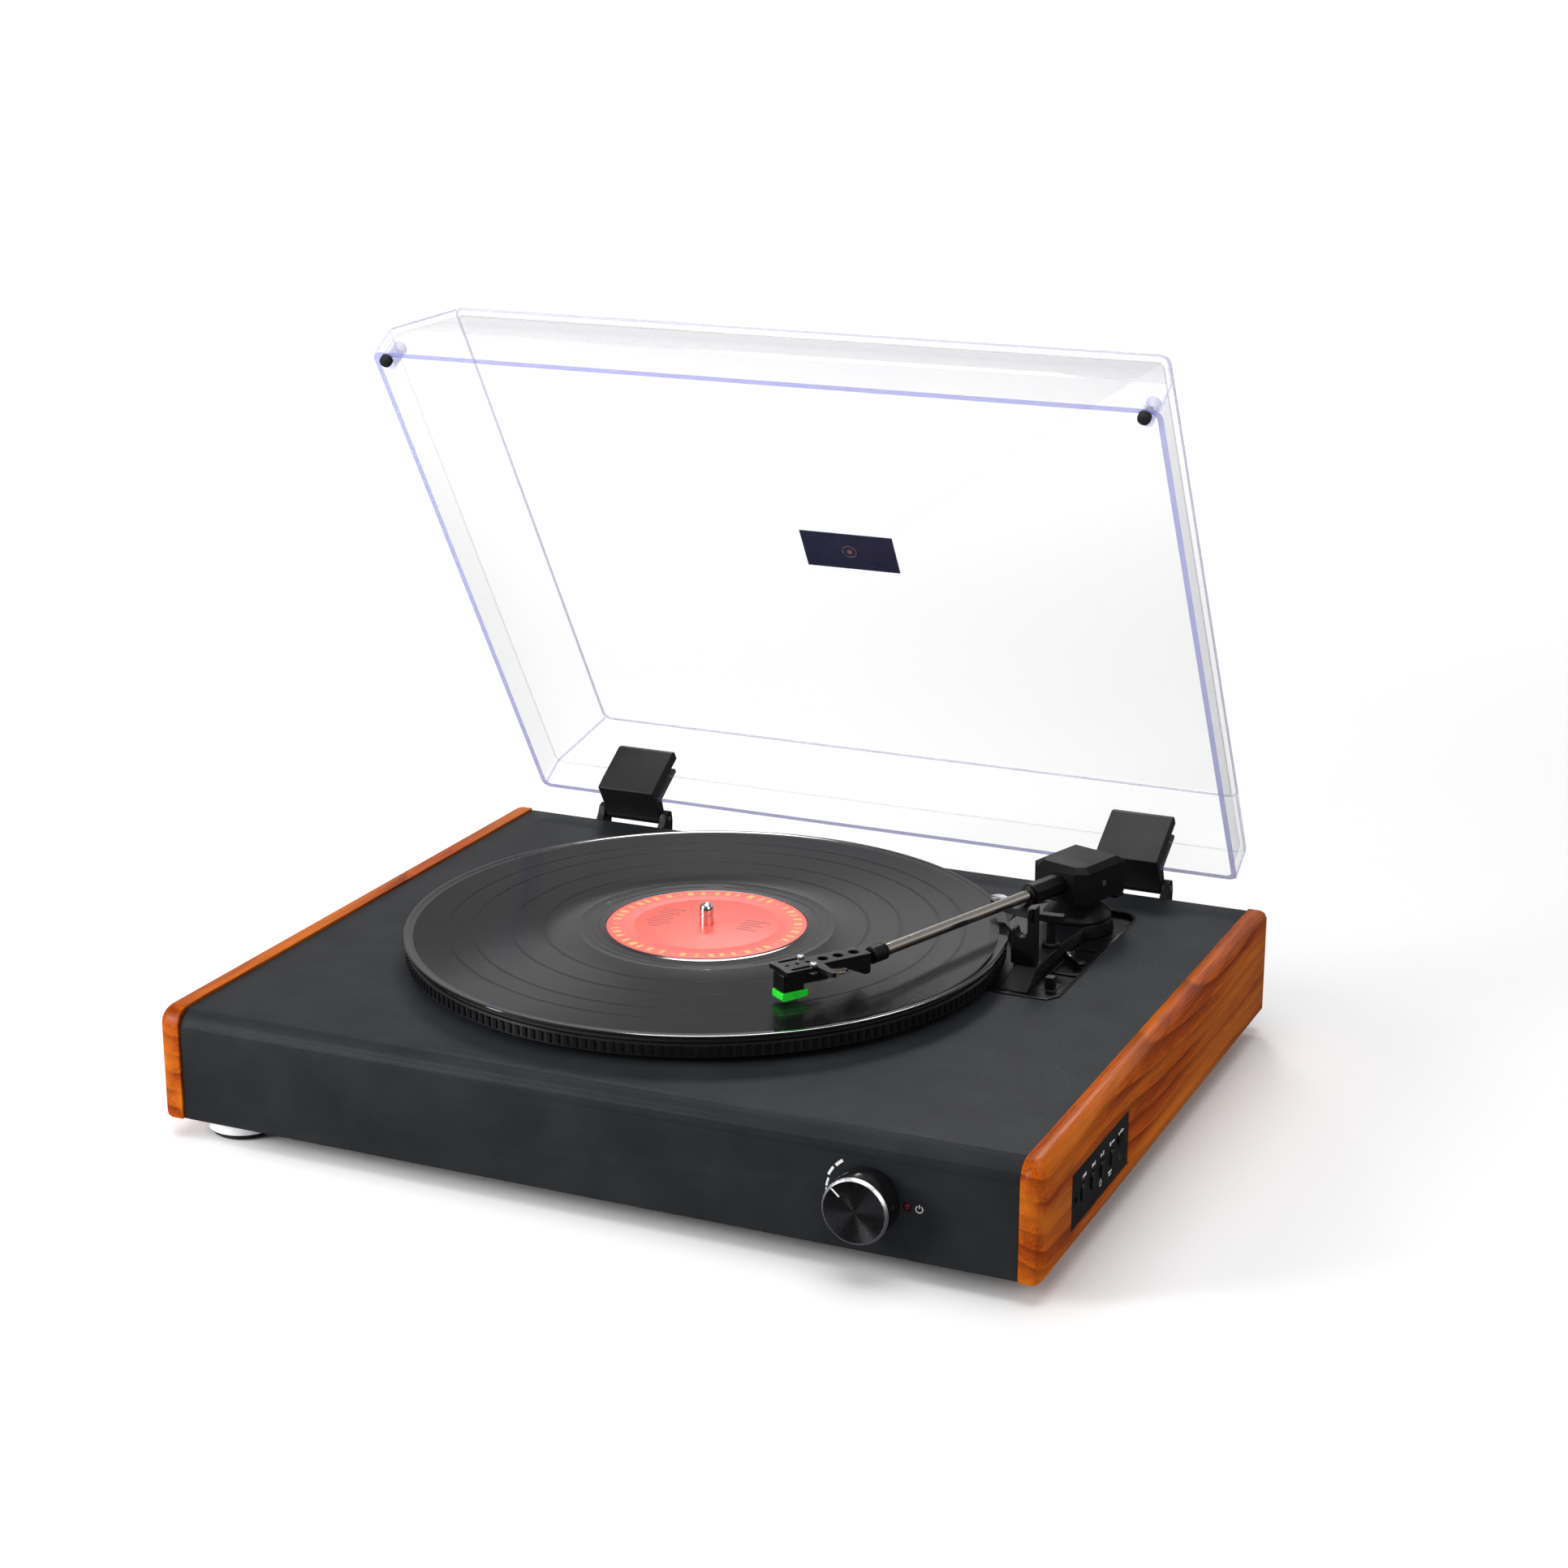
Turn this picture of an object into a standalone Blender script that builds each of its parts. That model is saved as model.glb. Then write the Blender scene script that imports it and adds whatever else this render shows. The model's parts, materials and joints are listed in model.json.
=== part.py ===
# Belt-drive record player: vinyl-wrapped plinth with wooden side panels,
# platter with a 12-inch record, straight tonearm on an offset headshell,
# tinted acrylic dust cover on two rear hinges, volume knob and side controls.
#
# Working coordinates are millimetres: x to the right from the left end of the
# black plinth, y towards the back from its front face, z up from its underside.
# P() turns them into metres with the origin under the middle of the whole
# object, on the surface that the feet stand on.
import math
import bpy
import bmesh
from mathutils import Matrix, Vector

# ---------------------------------------------------------------- dimensions
GAP = 0.3                 # clearance between pieces that touch

BODY_W = 423.0            # black plinth, width
BODY_D = 348.0            # depth
BODY_H = 54.2             # height
WALL = 12.0               # plinth walls
TOP_T = 9.0               # plinth top
FRONT_R = 10.0            # rounded front top edge
PANEL_T = 11.3            # wooden side panels
PANEL_R = 5.0             # rounding of their outer edges
PANEL_LIP = 1.0           # how far they stand proud at the front and the top
FOOT_H = 9.5              # feet, whole height
FOOT_R = 17.7

SPX, SPY = 191.7, 179.7   # spindle
RECORD_R = 150.8
LABEL_R = 50.0
REC_TOP = 14.0            # heights above the plinth top
REC_T = 1.5
MAT_T = 2.5
PLATTER_R = 149.0
PLATTER_TOP = 9.4
PLATTER_LOW = 3.0
SPINDLE_R = 3.55
SPINDLE_TOP = 25.2
BELT_RING_R = 84.0
PULLEY_R = 6.0
PULLEY_DIR = math.radians(135.0)
BELT_T = 0.9

PIVX, PIVY = 348.0, 293.0  # tonearm's vertical axis
ARM_YAW = math.radians(17.5)   # arm's direction at rest, from -Y towards -X
ARM_Z = 25.6              # tube axis at the pivot, above the plinth top
ARM_RISE = math.radians(0.86)  # the tube rises slightly towards the headshell
TUBE_R = 2.9
TUBE_A0, TUBE_A1 = 41.3, 154.9
HS_YAW = math.radians(34.9)    # headshell's direction
HS_TOP = 31.0
HS_T = 2.2
CUE_R = 50.5              # radius of the curved cueing bar about the arm's axis

SCX, SCY, SC_R = 299.5, 308.4, 5.6   # slotted screw in the top, behind the platter

KNOB_X, KNOB_Z, KNOB_R, KNOB_OUT = 353.8, 25.3, 15.5, 15.0
LED_X, LED_Z = 371.9, 25.0

PLATE_Y0, PLATE_Y1, PLATE_Z0, PLATE_Z1 = 35.1, 115.3, 9.0, 36.4
BUTTON_Y = (51.2, 64.6, 77.6, 91.7)
BUTTON_Z = 22.2
USB_Y, JACK_Y = 104.8, 41.6

LID_W0, LID_W1 = 5.6, 415.6   # dust cover, left and right outer faces
LID_L = 320.0             # front to back
LID_T = 3.0
LID_D1, LID_D2 = 19.3, 57.5   # height of the bend and of the top panel
LID_SF, LID_SS = 16.6, 14.5   # how far the front and the sides slope in
LID_OPEN = math.radians(58.7)
LID_CORNER = 5.0
LID_YB, LID_ZB = 352.0, 14.0  # rim's back edge when open; z above the plinth top
LID_YC, LID_ZC = 345.0, 4.5   # the same edge when closed
HINGE_X = (62.0, 357.0)
HINGE_W = 34.0

KNOB_FRONT = -(KNOB_OUT + 0.4)
Y_BACK = LID_YB + LID_D2 * math.sin(LID_OPEN)
Y_MID = (KNOB_FRONT + Y_BACK) / 2
H = BODY_H


def P(x, y, z):
    return Vector(((x - BODY_W / 2) / 1000.0, (y - Y_MID) / 1000.0,
                   (z + FOOT_H) / 1000.0))


# hinge axis: the point that carries the closed rim edge onto the open one
def hinge_axis():
    bx, bz, ox, oz = LID_YC, LID_ZC, LID_YB, LID_ZB
    dx, dz = ox - bx, oz - bz
    d = math.hypot(dx, dz)
    r = d / (2 * math.sin(LID_OPEN / 2))
    k = r * math.cos(LID_OPEN / 2) / d
    return (bx + ox) / 2 + dz * k, (bz + oz) / 2 - dx * k


HY, HZ = hinge_axis()

# ------------------------------------------------------------------ materials
COLOURS = {
    "vinyl_black": ((0.012, 0.012, 0.013), 0.55, 0.0),
    "plastic_black": ((0.012, 0.012, 0.013), 0.38, 0.0),
    "wood": ((0.32, 0.11, 0.03), 0.3, 0.0),
    "board": ((0.16, 0.12, 0.08), 0.8, 0.0),
    "silver": ((0.62, 0.62, 0.62), 0.3, 1.0),
    "rubber": ((0.015, 0.015, 0.015), 0.8, 0.0),
    "aluminium": ((0.06, 0.06, 0.065), 0.35, 1.0),
    "felt": ((0.015, 0.015, 0.017), 0.9, 0.0),
    "record": ((0.008, 0.008, 0.009), 0.12, 0.0),
    "label": ((0.75, 0.06, 0.03), 0.45, 0.0),
    "chrome": ((0.85, 0.85, 0.86), 0.1, 1.0),
    "tube_metal": ((0.62, 0.56, 0.47), 0.22, 1.0),
    "stylus_green": ((0.03, 0.72, 0.05), 0.35, 0.0),
    "steel": ((0.45, 0.45, 0.46), 0.35, 1.0),
    "gold": ((0.8, 0.55, 0.2), 0.25, 1.0),
    "led": ((0.9, 0.05, 0.03), 0.3, 0.0),
    "pcb": ((0.02, 0.12, 0.05), 0.5, 0.0),
    "acrylic": ((0.82, 0.84, 0.95), 0.03, 0.0),
    "badge": ((0.03, 0.04, 0.09), 0.35, 0.0),
}
MATS = {}


def material(key):
    if key not in MATS:
        rgb, rough, metal = COLOURS[key]
        m = bpy.data.materials.new(key)
        m.use_nodes = True
        b = m.node_tree.nodes["Principled BSDF"]
        b.inputs["Base Color"].default_value = (*rgb, 1)
        b.inputs["Roughness"].default_value = rough
        b.inputs["Metallic"].default_value = metal
        MATS[key] = m
    return MATS[key]


# --------------------------------------------------------------------- builders
def finish(bm, name, key, at, cutter=False, smooth=None):
    bmesh.ops.remove_doubles(bm, verts=bm.verts, dist=1e-7)
    bmesh.ops.recalc_face_normals(bm, faces=bm.faces)
    mesh = bpy.data.meshes.new(name)
    bm.to_mesh(mesh)
    bm.free()
    ob = bpy.data.objects.new(name, mesh)
    bpy.context.scene.collection.objects.link(ob)
    ob.location = at
    if cutter:
        ob.hide_render = True
        ob.display_type = 'WIRE'
    else:
        mesh.materials.append(material(key))
    if smooth:
        mesh.shade_smooth()
        mesh.set_sharp_from_angle(angle=math.radians(smooth))
    return ob


def extrude(name, key, ring, frame, d0, d1, at=None, cutter=False, top=None, smooth=None):
    """A prism: ring of (a, b) millimetres, frame(a, b, d) -> world point."""
    at = at if at is not None else Vector((0, 0, 0))
    bm = bmesh.new()
    lo = [bm.verts.new(frame(a, b, d0) - at) for a, b in ring]
    hi = [bm.verts.new(frame(a, b, d1) - at) for a, b in (top or ring)]
    n = len(ring)
    bm.faces.new(lo)
    bm.faces.new(list(reversed(hi)))
    for i in range(n):
        j = (i + 1) % n
        bm.faces.new((lo[i], hi[i], hi[j], lo[j]))
    return finish(bm, name, key, at, cutter, smooth)


def up(a, b, d):          # ring in plan, extruded upwards
    return P(a, b, d)


def side(a, b, d):        # ring in (y, z), extruded along x
    return P(d, a, b)


def front(a, b, d):       # ring in (x, z), extruded along y
    return P(a, d, b)


def circle(cx, cy, r, n=32, a0=0.0):
    return [(cx + r * math.cos(a0 + 2 * math.pi * i / n),
             cy + r * math.sin(a0 + 2 * math.pi * i / n)) for i in range(n)]


def arc(cx, cy, r, a0, a1, n):
    return [(cx + r * math.cos(math.radians(a0 + (a1 - a0) * i / n)),
             cy + r * math.sin(math.radians(a0 + (a1 - a0) * i / n))) for i in range(n + 1)]


def rrect(x0, y0, x1, y1, r, n=3):
    return (arc(x1 - r, y1 - r, r, 0, 90, n) + arc(x0 + r, y1 - r, r, 90, 180, n)
            + arc(x0 + r, y0 + r, r, 180, 270, n) + arc(x1 - r, y0 + r, r, 270, 360, n))


def box(name, key, x0, x1, y0, y1, z0, z1, r=0.0, cutter=False, at=None):
    ring = rrect(x0, y0, x1, y1, r) if r else [(x0, y0), (x1, y0), (x1, y1), (x0, y1)]
    return extrude(name, key, ring, up, z0, z1, at=at, cutter=cutter)


def turned(name, key, profile, frame, at, n=48, smooth=40):
    """A profile of (r, h) turned about the frame's axis; r = 0 makes a pole."""
    bm = bmesh.new()
    rings = []
    for r, h in profile:
        if r == 0:
            rings.append([bm.verts.new(frame(0, 0, h) - at)])
        else:
            rings.append([bm.verts.new(frame(r * math.cos(2 * math.pi * i / n),
                                             r * math.sin(2 * math.pi * i / n), h) - at)
                          for i in range(n)])
    closed = profile[0][0] > 0 or profile[-1][0] > 0
    pairs = list(zip(rings, rings[1:])) + ([(rings[-1], rings[0])] if closed else [])
    for p, q in pairs:
        for i in range(n):
            j = (i + 1) % n
            if len(p) == 1 and len(q) == 1:
                continue
            if len(p) == 1:
                bm.faces.new((p[0], q[i], q[j]))
            elif len(q) == 1:
                bm.faces.new((p[i], q[0], p[j]))
            else:
                bm.faces.new((p[i], q[i], q[j], p[j]))
    return finish(bm, name, key, at, smooth=smooth)


def modify(ob, cutter, how='DIFFERENCE'):
    m = ob.modifiers.new(how.lower(), 'BOOLEAN')
    m.operation = how
    m.solver = 'EXACT'
    m.object = cutter
    cutter.hide_render = True
    cutter.display_type = 'WIRE'
    return ob


def local(origin, yaw, rise=0.0):
    """A frame at origin: a forwards, s to the right of it, h up (mm)."""
    ox, oy, oz = origin
    fa = Vector((-math.sin(yaw) * math.cos(rise), -math.cos(yaw) * math.cos(rise), math.sin(rise)))
    fs = Vector((-math.cos(yaw), math.sin(yaw), 0))
    fh = fs.cross(fa) * -1
    if fh.z < 0:
        fh = -fh

    def at(a, s, h):
        v = Vector((ox, oy, oz)) + fa * a + fs * s + fh * h
        return P(*v)
    return at


def vertical(cx, cy, base=0.0):
    return lambda a, b, h: P(cx + a, cy + b, base + h)


# ------------------------------------------------------------------------ plinth
def plinth():
    prof = ([(0.0, 0.0)] + [(FRONT_R - FRONT_R * math.cos(math.radians(t)),
                              H - FRONT_R + FRONT_R * math.sin(math.radians(t)))
                             for t in range(0, 91, 15)]
            + [(BODY_D, H), (BODY_D, 0.0)])
    shell = extrude("chassis_shell", "vinyl_black", prof, side, 0.15, BODY_W - 0.15)
    cuts = [
        box("cut_cavity", None, WALL, BODY_W - WALL, WALL, BODY_D - WALL, -5, H - TOP_T, cutter=True),
        extrude("cut_bearing", None, circle(SPX, SPY, 10.0), up, H - 20, H + 5, cutter=True),
        extrude("cut_motor", None, circle(MOX, MOY, 5.0, 24), up, H - 20, H + 5, cutter=True),
        extrude("cut_deck", None, DECK, up, H - 20, H + 5, cutter=True),
        extrude("cut_screw", None, circle(SCX, SCY, 2.9, 20), up, H - 20, H + 5, cutter=True),
        extrude("cut_shaft", None, circle(KNOB_X, KNOB_Z, 4.5, 24), front, -5, WALL + 5, cutter=True),
        extrude("cut_led", None, circle(LED_X, LED_Z, 1.9, 16), front, -5, WALL + 5, cutter=True),
        box("cut_jacks", None, 168, 252, BODY_D - WALL - 5, BODY_D + 5, 14, 42, cutter=True),
        box("cut_side", None, BODY_W - WALL - 5, BODY_W + 5, PLATE_Y0 + 2, PLATE_Y1 - 2,
            PLATE_Z0 + 2, PLATE_Z1 - 2, cutter=True),
    ]
    for c in cuts:
        modify(shell, c)

    ph = H + PANEL_LIP
    pr = 9.0
    prof = ([(-PANEL_LIP, 0.0)] + [(-PANEL_LIP + pr - pr * math.cos(math.radians(t)),
                                    ph - pr + pr * math.sin(math.radians(t)))
                                   for t in range(0, 91, 15)]
            + [(BODY_D, ph), (BODY_D, 0.0)])

    def panel(name, x_in, x_out):
        bm = bmesh.new()
        sgn = 1 if x_out > x_in else -1
        cy, cz = -PANEL_LIP + pr, ph - pr

        def drawn_in(d):
            out = []
            for y, z in prof:
                if y < cy and z > cz:               # follow the round corner
                    t = math.atan2(z - cz, y - cy)
                    out.append((cy + (pr - d) * math.cos(t), cz + (pr - d) * math.sin(t)))
                else:
                    out.append((min(max(y, -PANEL_LIP + d), BODY_D - d), min(max(z, d), ph - d)))
            return out
        rings = [[bm.verts.new(side(a, b, x_in)) for a, b in prof]]
        for deg in (0, 30, 60, 90):                 # rounded outer edges
            t = math.radians(deg)
            x = x_out - sgn * PANEL_R * (1 - math.sin(t))
            rings.append([bm.verts.new(side(a, b, x)) for a, b in drawn_in(PANEL_R * (1 - math.cos(t)))])
        n = len(prof)
        bm.faces.new(rings[0])
        bm.faces.new(list(reversed(rings[-1])))
        for lo, hi in zip(rings, rings[1:]):
            for i in range(n):
                j = (i + 1) % n
                bm.faces.new((lo[i], hi[i], hi[j], lo[j]))
        return finish(bm, name, "wood", Vector((0, 0, 0)), smooth=35)

    panel("side_panel_left", -0.15, -PANEL_T)
    right = panel("side_panel_right", BODY_W + 0.15, BODY_W + PANEL_T)
    modify(right, box("cut_plate", None, BODY_W - 3, BODY_W + PANEL_T + 3, PLATE_Y0, PLATE_Y1,
                      PLATE_Z0, PLATE_Z1, cutter=True))

    box("base_panel", "board", WALL + 0.5, BODY_W - WALL - 0.5, WALL + 0.5, BODY_D - WALL - 0.5, 0.3, 4.3)

    for i, (sx, sy) in enumerate(((0, 0), (1, 0), (0, 1), (1, 1))):
        tag = ("front_left", "front_right", "back_left", "back_right")[i]
        fx = 19.5 if sx == 0 else BODY_W - 19.5
        fy = (21.5, 52.0)[sx] if sy == 0 else BODY_D - 21.5
        at = P(fx, fy, 0)
        turned("foot_" + tag, "silver",
               [(0, -0.3), (FOOT_R, -0.3), (FOOT_R, -6.0), (FOOT_R - 0.8, -6.8), (FOOT_R - 1.8, -6.8),
                (FOOT_R - 1.8, -9.1), (FOOT_R - 2.2, -9.5), (0, -9.5)],
               vertical(fx, fy), at, n=36)


# ------------------------------------------------------------------------ drive
MOX = SPX + (BELT_RING_R + PULLEY_R + 5.0) * math.cos(PULLEY_DIR)
MOY = SPY + (BELT_RING_R + PULLEY_R + 5.0) * math.sin(PULLEY_DIR)


def drive():
    at = P(SPX, SPY, H)
    fr = vertical(SPX, SPY, H)
    turned("main_bearing", "steel",
           [(0, -30), (8.5, -30), (8.5, -9.5), (9.4, -9.5), (9.4, 0.3), (15.0, 0.3), (15.0, 1.8),
            (3.95, 1.8), (3.95, -27), (0, -27)], fr, at, n=40)
    turned("spindle", "chrome",
           [(0, -26.6), (SPINDLE_R, -26.6), (SPINDLE_R, SPINDLE_TOP - 2.2), (SPINDLE_R * 0.86, SPINDLE_TOP - 0.9),
            (SPINDLE_R * 0.5, SPINDLE_TOP - 0.2), (0, SPINDLE_TOP)], fr, at, n=32)
    pt, pl, pr = PLATTER_TOP, PLATTER_LOW, PLATTER_R
    turned("platter", "aluminium",
           [(3.95, pl + 0.2), (14, pl + 0.2), (14, pt - 2.5), (80, pt - 2.5), (80, pl + 0.4), (BELT_RING_R, pl + 0.4),
            (BELT_RING_R, pt - 2.5), (pr - 3.5, pt - 2.5), (pr - 3.5, pl), (pr, pl), (pr, pt - 0.8), (pr - 0.8, pt),
            (3.95, pt)], fr, at, n=96)
    mb = pt + GAP
    turned("platter_mat", "felt", [(3.95, mb), (147, mb), (147, mb + MAT_T), (3.95, mb + MAT_T)], fr, at, n=96)
    rb = REC_TOP - REC_T
    turned("record_disc", "record",
           [(3.95, rb), (RECORD_R - 0.6, rb), (RECORD_R, rb + 0.5), (RECORD_R, REC_TOP - 0.5), (RECORD_R - 0.6, REC_TOP),
            (LABEL_R + 0.3, REC_TOP), (LABEL_R + 0.3, REC_TOP - 0.6), (3.95, REC_TOP - 0.6)], fr, at, n=120)
    turned("record_label", "label",
           [(3.95, REC_TOP - 0.3), (LABEL_R, REC_TOP - 0.3), (LABEL_R, REC_TOP), (3.95, REC_TOP)], fr, at, n=64)

    mat_ = P(MOX, MOY, H)
    mf = vertical(MOX, MOY, H)
    turned("drive_motor", "steel",
           [(0, -34), (15, -34), (15, -9.5), (1.6, -9.5), (1.6, -20), (0, -20)], mf, mat_, n=32)
    turned("motor_pulley", "plastic_black",
           [(0, -16), (1.2, -16), (1.2, 2.6), (7.4, 2.6), (7.4, 3.2), (PULLEY_R, 3.4), (PULLEY_R, 6.2),
            (7.0, 6.4), (0, 6.4)], mf, mat_, n=32)

    # flat belt round the platter's inner ring and the pulley
    def loop(extra):
        ra, rb_ = BELT_RING_R + extra, PULLEY_R + extra
        d = math.hypot(MOX - SPX, MOY - SPY)
        th = math.acos((ra - rb_) / d)
        base = PULLEY_DIR
        pts = []
        n1, n2 = 72, 12
        for i in range(n1 + 1):
            t = base + th + (2 * math.pi - 2 * th) * i / n1
            pts.append((SPX + ra * math.cos(t), SPY + ra * math.sin(t)))
        for i in range(n2 + 1):
            t = base - th + 2 * th * i / n2
            pts.append((MOX + rb_ * math.cos(t), MOY + rb_ * math.sin(t)))
        return pts
    inner, outer = loop(0.35), loop(0.35 + BELT_T)
    bm = bmesh.new()
    z0, z1 = H + 3.8, H + 5.8
    v = [[bm.verts.new(P(x, y, z)) for x, y in ring] for ring, z in
         ((inner, z0), (outer, z0), (outer, z1), (inner, z1))]
    n = len(inner)
    for k in range(4):
        p, q = v[k], v[(k + 1) % 4]
        for i in range(n):
            j = (i + 1) % n
            bm.faces.new((p[i], q[i], q[j], p[j]))
    finish(bm, "drive_belt", "rubber", Vector((0, 0, 0)))

    screw = turned("transit_screw", "chrome",
                   [(0, -11.0), (2.5, -11.0), (2.5, 0.2), (SC_R, 0.2), (SC_R, 1.5), (SC_R - 0.8, 2.3), (0, 2.3)],
                   vertical(SCX, SCY, H), P(SCX, SCY, H), n=32)
    modify(screw, box("cut_slot", None, SCX - 8, SCX + 8, SCY - 0.7, SCY + 0.7, H + 1.3, H + 4, cutter=True))


# ---------------------------------------------------------------- tonearm base
DECK = [(373.6, 190.0)] + arc(363.6, 308, 10, 0, 90, 4) + [(314.0, 318.0), (314.0, 296.0), (326.0, 184.0), (369.5, 184.0)]
LEVX, LEVY, LEVZ = 360.8, 243.3, 1.2
LEV_YAW = math.radians(-45.5)     # direction of the cue lever, from -Y towards +X


def inset(ring, d):
    """A convex ring drawn in by d millimetres."""
    n = len(ring)
    area = sum(ring[i][0] * ring[(i + 1) % n][1] - ring[(i + 1) % n][0] * ring[i][1] for i in range(n))
    sgn = 1 if area > 0 else -1
    out = []
    for i in range(n):
        p0, p1, p2 = (Vector(ring[i - 1]), Vector(ring[i]), Vector(ring[(i + 1) % n]))
        e1, e2 = (p1 - p0).normalized(), (p2 - p1).normalized()
        n1 = Vector((-e1.y, e1.x)) * sgn
        n2 = Vector((-e2.y, e2.x)) * sgn
        b = (n1 + n2).normalized()
        out.append(tuple(p1 + b * (d / max(0.3, b.dot(n1)))))
    return out


def arm_base():
    extrude("arm_deck", "plastic_black", inset(DECK, 0.35), up, H - 6.5, H - 2.3)
    # raised moulding that carries the rest post and the arm's foot; its left side
    # follows the platter
    rr = RECORD_R + 3.4
    left = [(SPX + rr * math.cos(math.radians(a)), SPY + rr * math.sin(math.radians(a)))
            for a in (34, 30, 26, 22, 18, 14.5, 12.2)]

    def round_foot(r):
        return [(PIVX + r * math.cos(math.radians(a)), PIVY + r * math.sin(math.radians(a)))
                for a in (-58, -42, -26, -10, 6, 22, 38, 54, 70, 86)]
    low = ([(341.6, 193.5), (356.6, 193.5), (356.2, 212.5), (356.0, 247.0)] + round_foot(19.0)
           + [(333.0, 311.0), (322.0, 300.0), (319.5, 284.0)] + left)
    top = ([(343.6, 210.6), (354.8, 210.6), (354.8, 213.0), (354.8, 247.2)] + round_foot(17.8)
           + [(333.0, 310.0), (322.5, 299.5), (320.0, 284.0)] + left)
    extrude("arm_island", "plastic_black", low, up, H - 2.0, H + 4.6, top=top)
    turned("arm_pedestal", "plastic_black",
           [(0, 4.9), (17.3, 4.9), (17.3, 6.4), (15.8, 8.2), (13.2, 10.4), (10.6, 12.6), (9.2, 14.0), (8.8, 15.8), (0, 15.8)],
           vertical(PIVX, PIVY, H), P(PIVX, PIVY, H), n=40)

    # rest post: column with a notch on its left for the tube
    py0, py1 = 212.2, 218.6
    prof = [(341.0, H + 4.9), (353.6, H + 4.9), (353.4, H + 34.4), (349.2, H + 34.4),
            (349.2, H + 21.6), (348.0, H + 19.4), (345.8, H + 18.8), (344.0, H + 19.6), (343.2, H + 23.0),
            (341.2, H + 22.6)]
    extrude("arm_rest_post", "plastic_black", prof, front, py0, py1)
    # small latch on the column's front, hanging down; it swings across the notch
    cx, cz = 351.2, H + 33.9
    ring = [(cx - 1.0, cz + 1.0), (cx + 1.0, cz + 1.0), (cx + 1.0, cz - 5.0), (cx + 0.3, cz - 6.4), (cx - 1.0, cz - 6.4)]
    extrude("arm_rest_latch", "plastic_black", ring, front, py0 - 2.6, py0 - 0.3, at=P(cx, py0, cz))

    # cue lever: hub, bar and finger end in one piece, low on the deck
    lv = local((LEVX, LEVY, H + LEVZ), LEV_YAW)
    ring = [(-2.4, -1.4), (-1.4, -2.4), (1.4, -2.4), (2.4, -1.4), (9.0, -0.8), (10.0, -1.6), (14.5, -0.8), (14.5, 1.0),
            (10.0, 1.6), (8.0, 1.0), (2.4, 1.4), (1.4, 2.4), (-1.4, 2.4), (-2.4, 1.4)]
    extrude("cue_lever", "plastic_black", ring, lambda a, h, s: lv(a, s, h), -2.0, 2.0, at=P(LEVX, LEVY, H + LEVZ))

    # curved cueing bar under the tube, with its lift rod
    r0, r1 = CUE_R - 2.4, CUE_R + 2.4
    angs = [-11 + 48 * i / 14 for i in range(15)]
    ring = ([(PIVX - r1 * math.sin(math.radians(a)), PIVY - r1 * math.cos(math.radians(a))) for a in angs]
            + [(PIVX - r0 * math.sin(math.radians(a)), PIVY - r0 * math.cos(math.radians(a))) for a in reversed(angs)])
    bar = extrude("arm_lifter", "plastic_black", ring, up, H + 18.2, H + 21.8)
    rx, ry = PIVX - 49.8 * math.sin(math.radians(-3.6)), PIVY - 49.8 * math.cos(math.radians(-3.6))
    modify(bar, extrude("add_lift_rod", None, circle(rx, ry, 2.2, 16), up, H + 4.9, H + 19.5, cutter=True), 'UNION')

    # small sliding switch at the front of the deck
    box("speed_switch", "plastic_black", 362.3, 366.9, 202.4, 207.0, H - 2.0, H + 4.0, at=P(364.6, 204.7, H))


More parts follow.
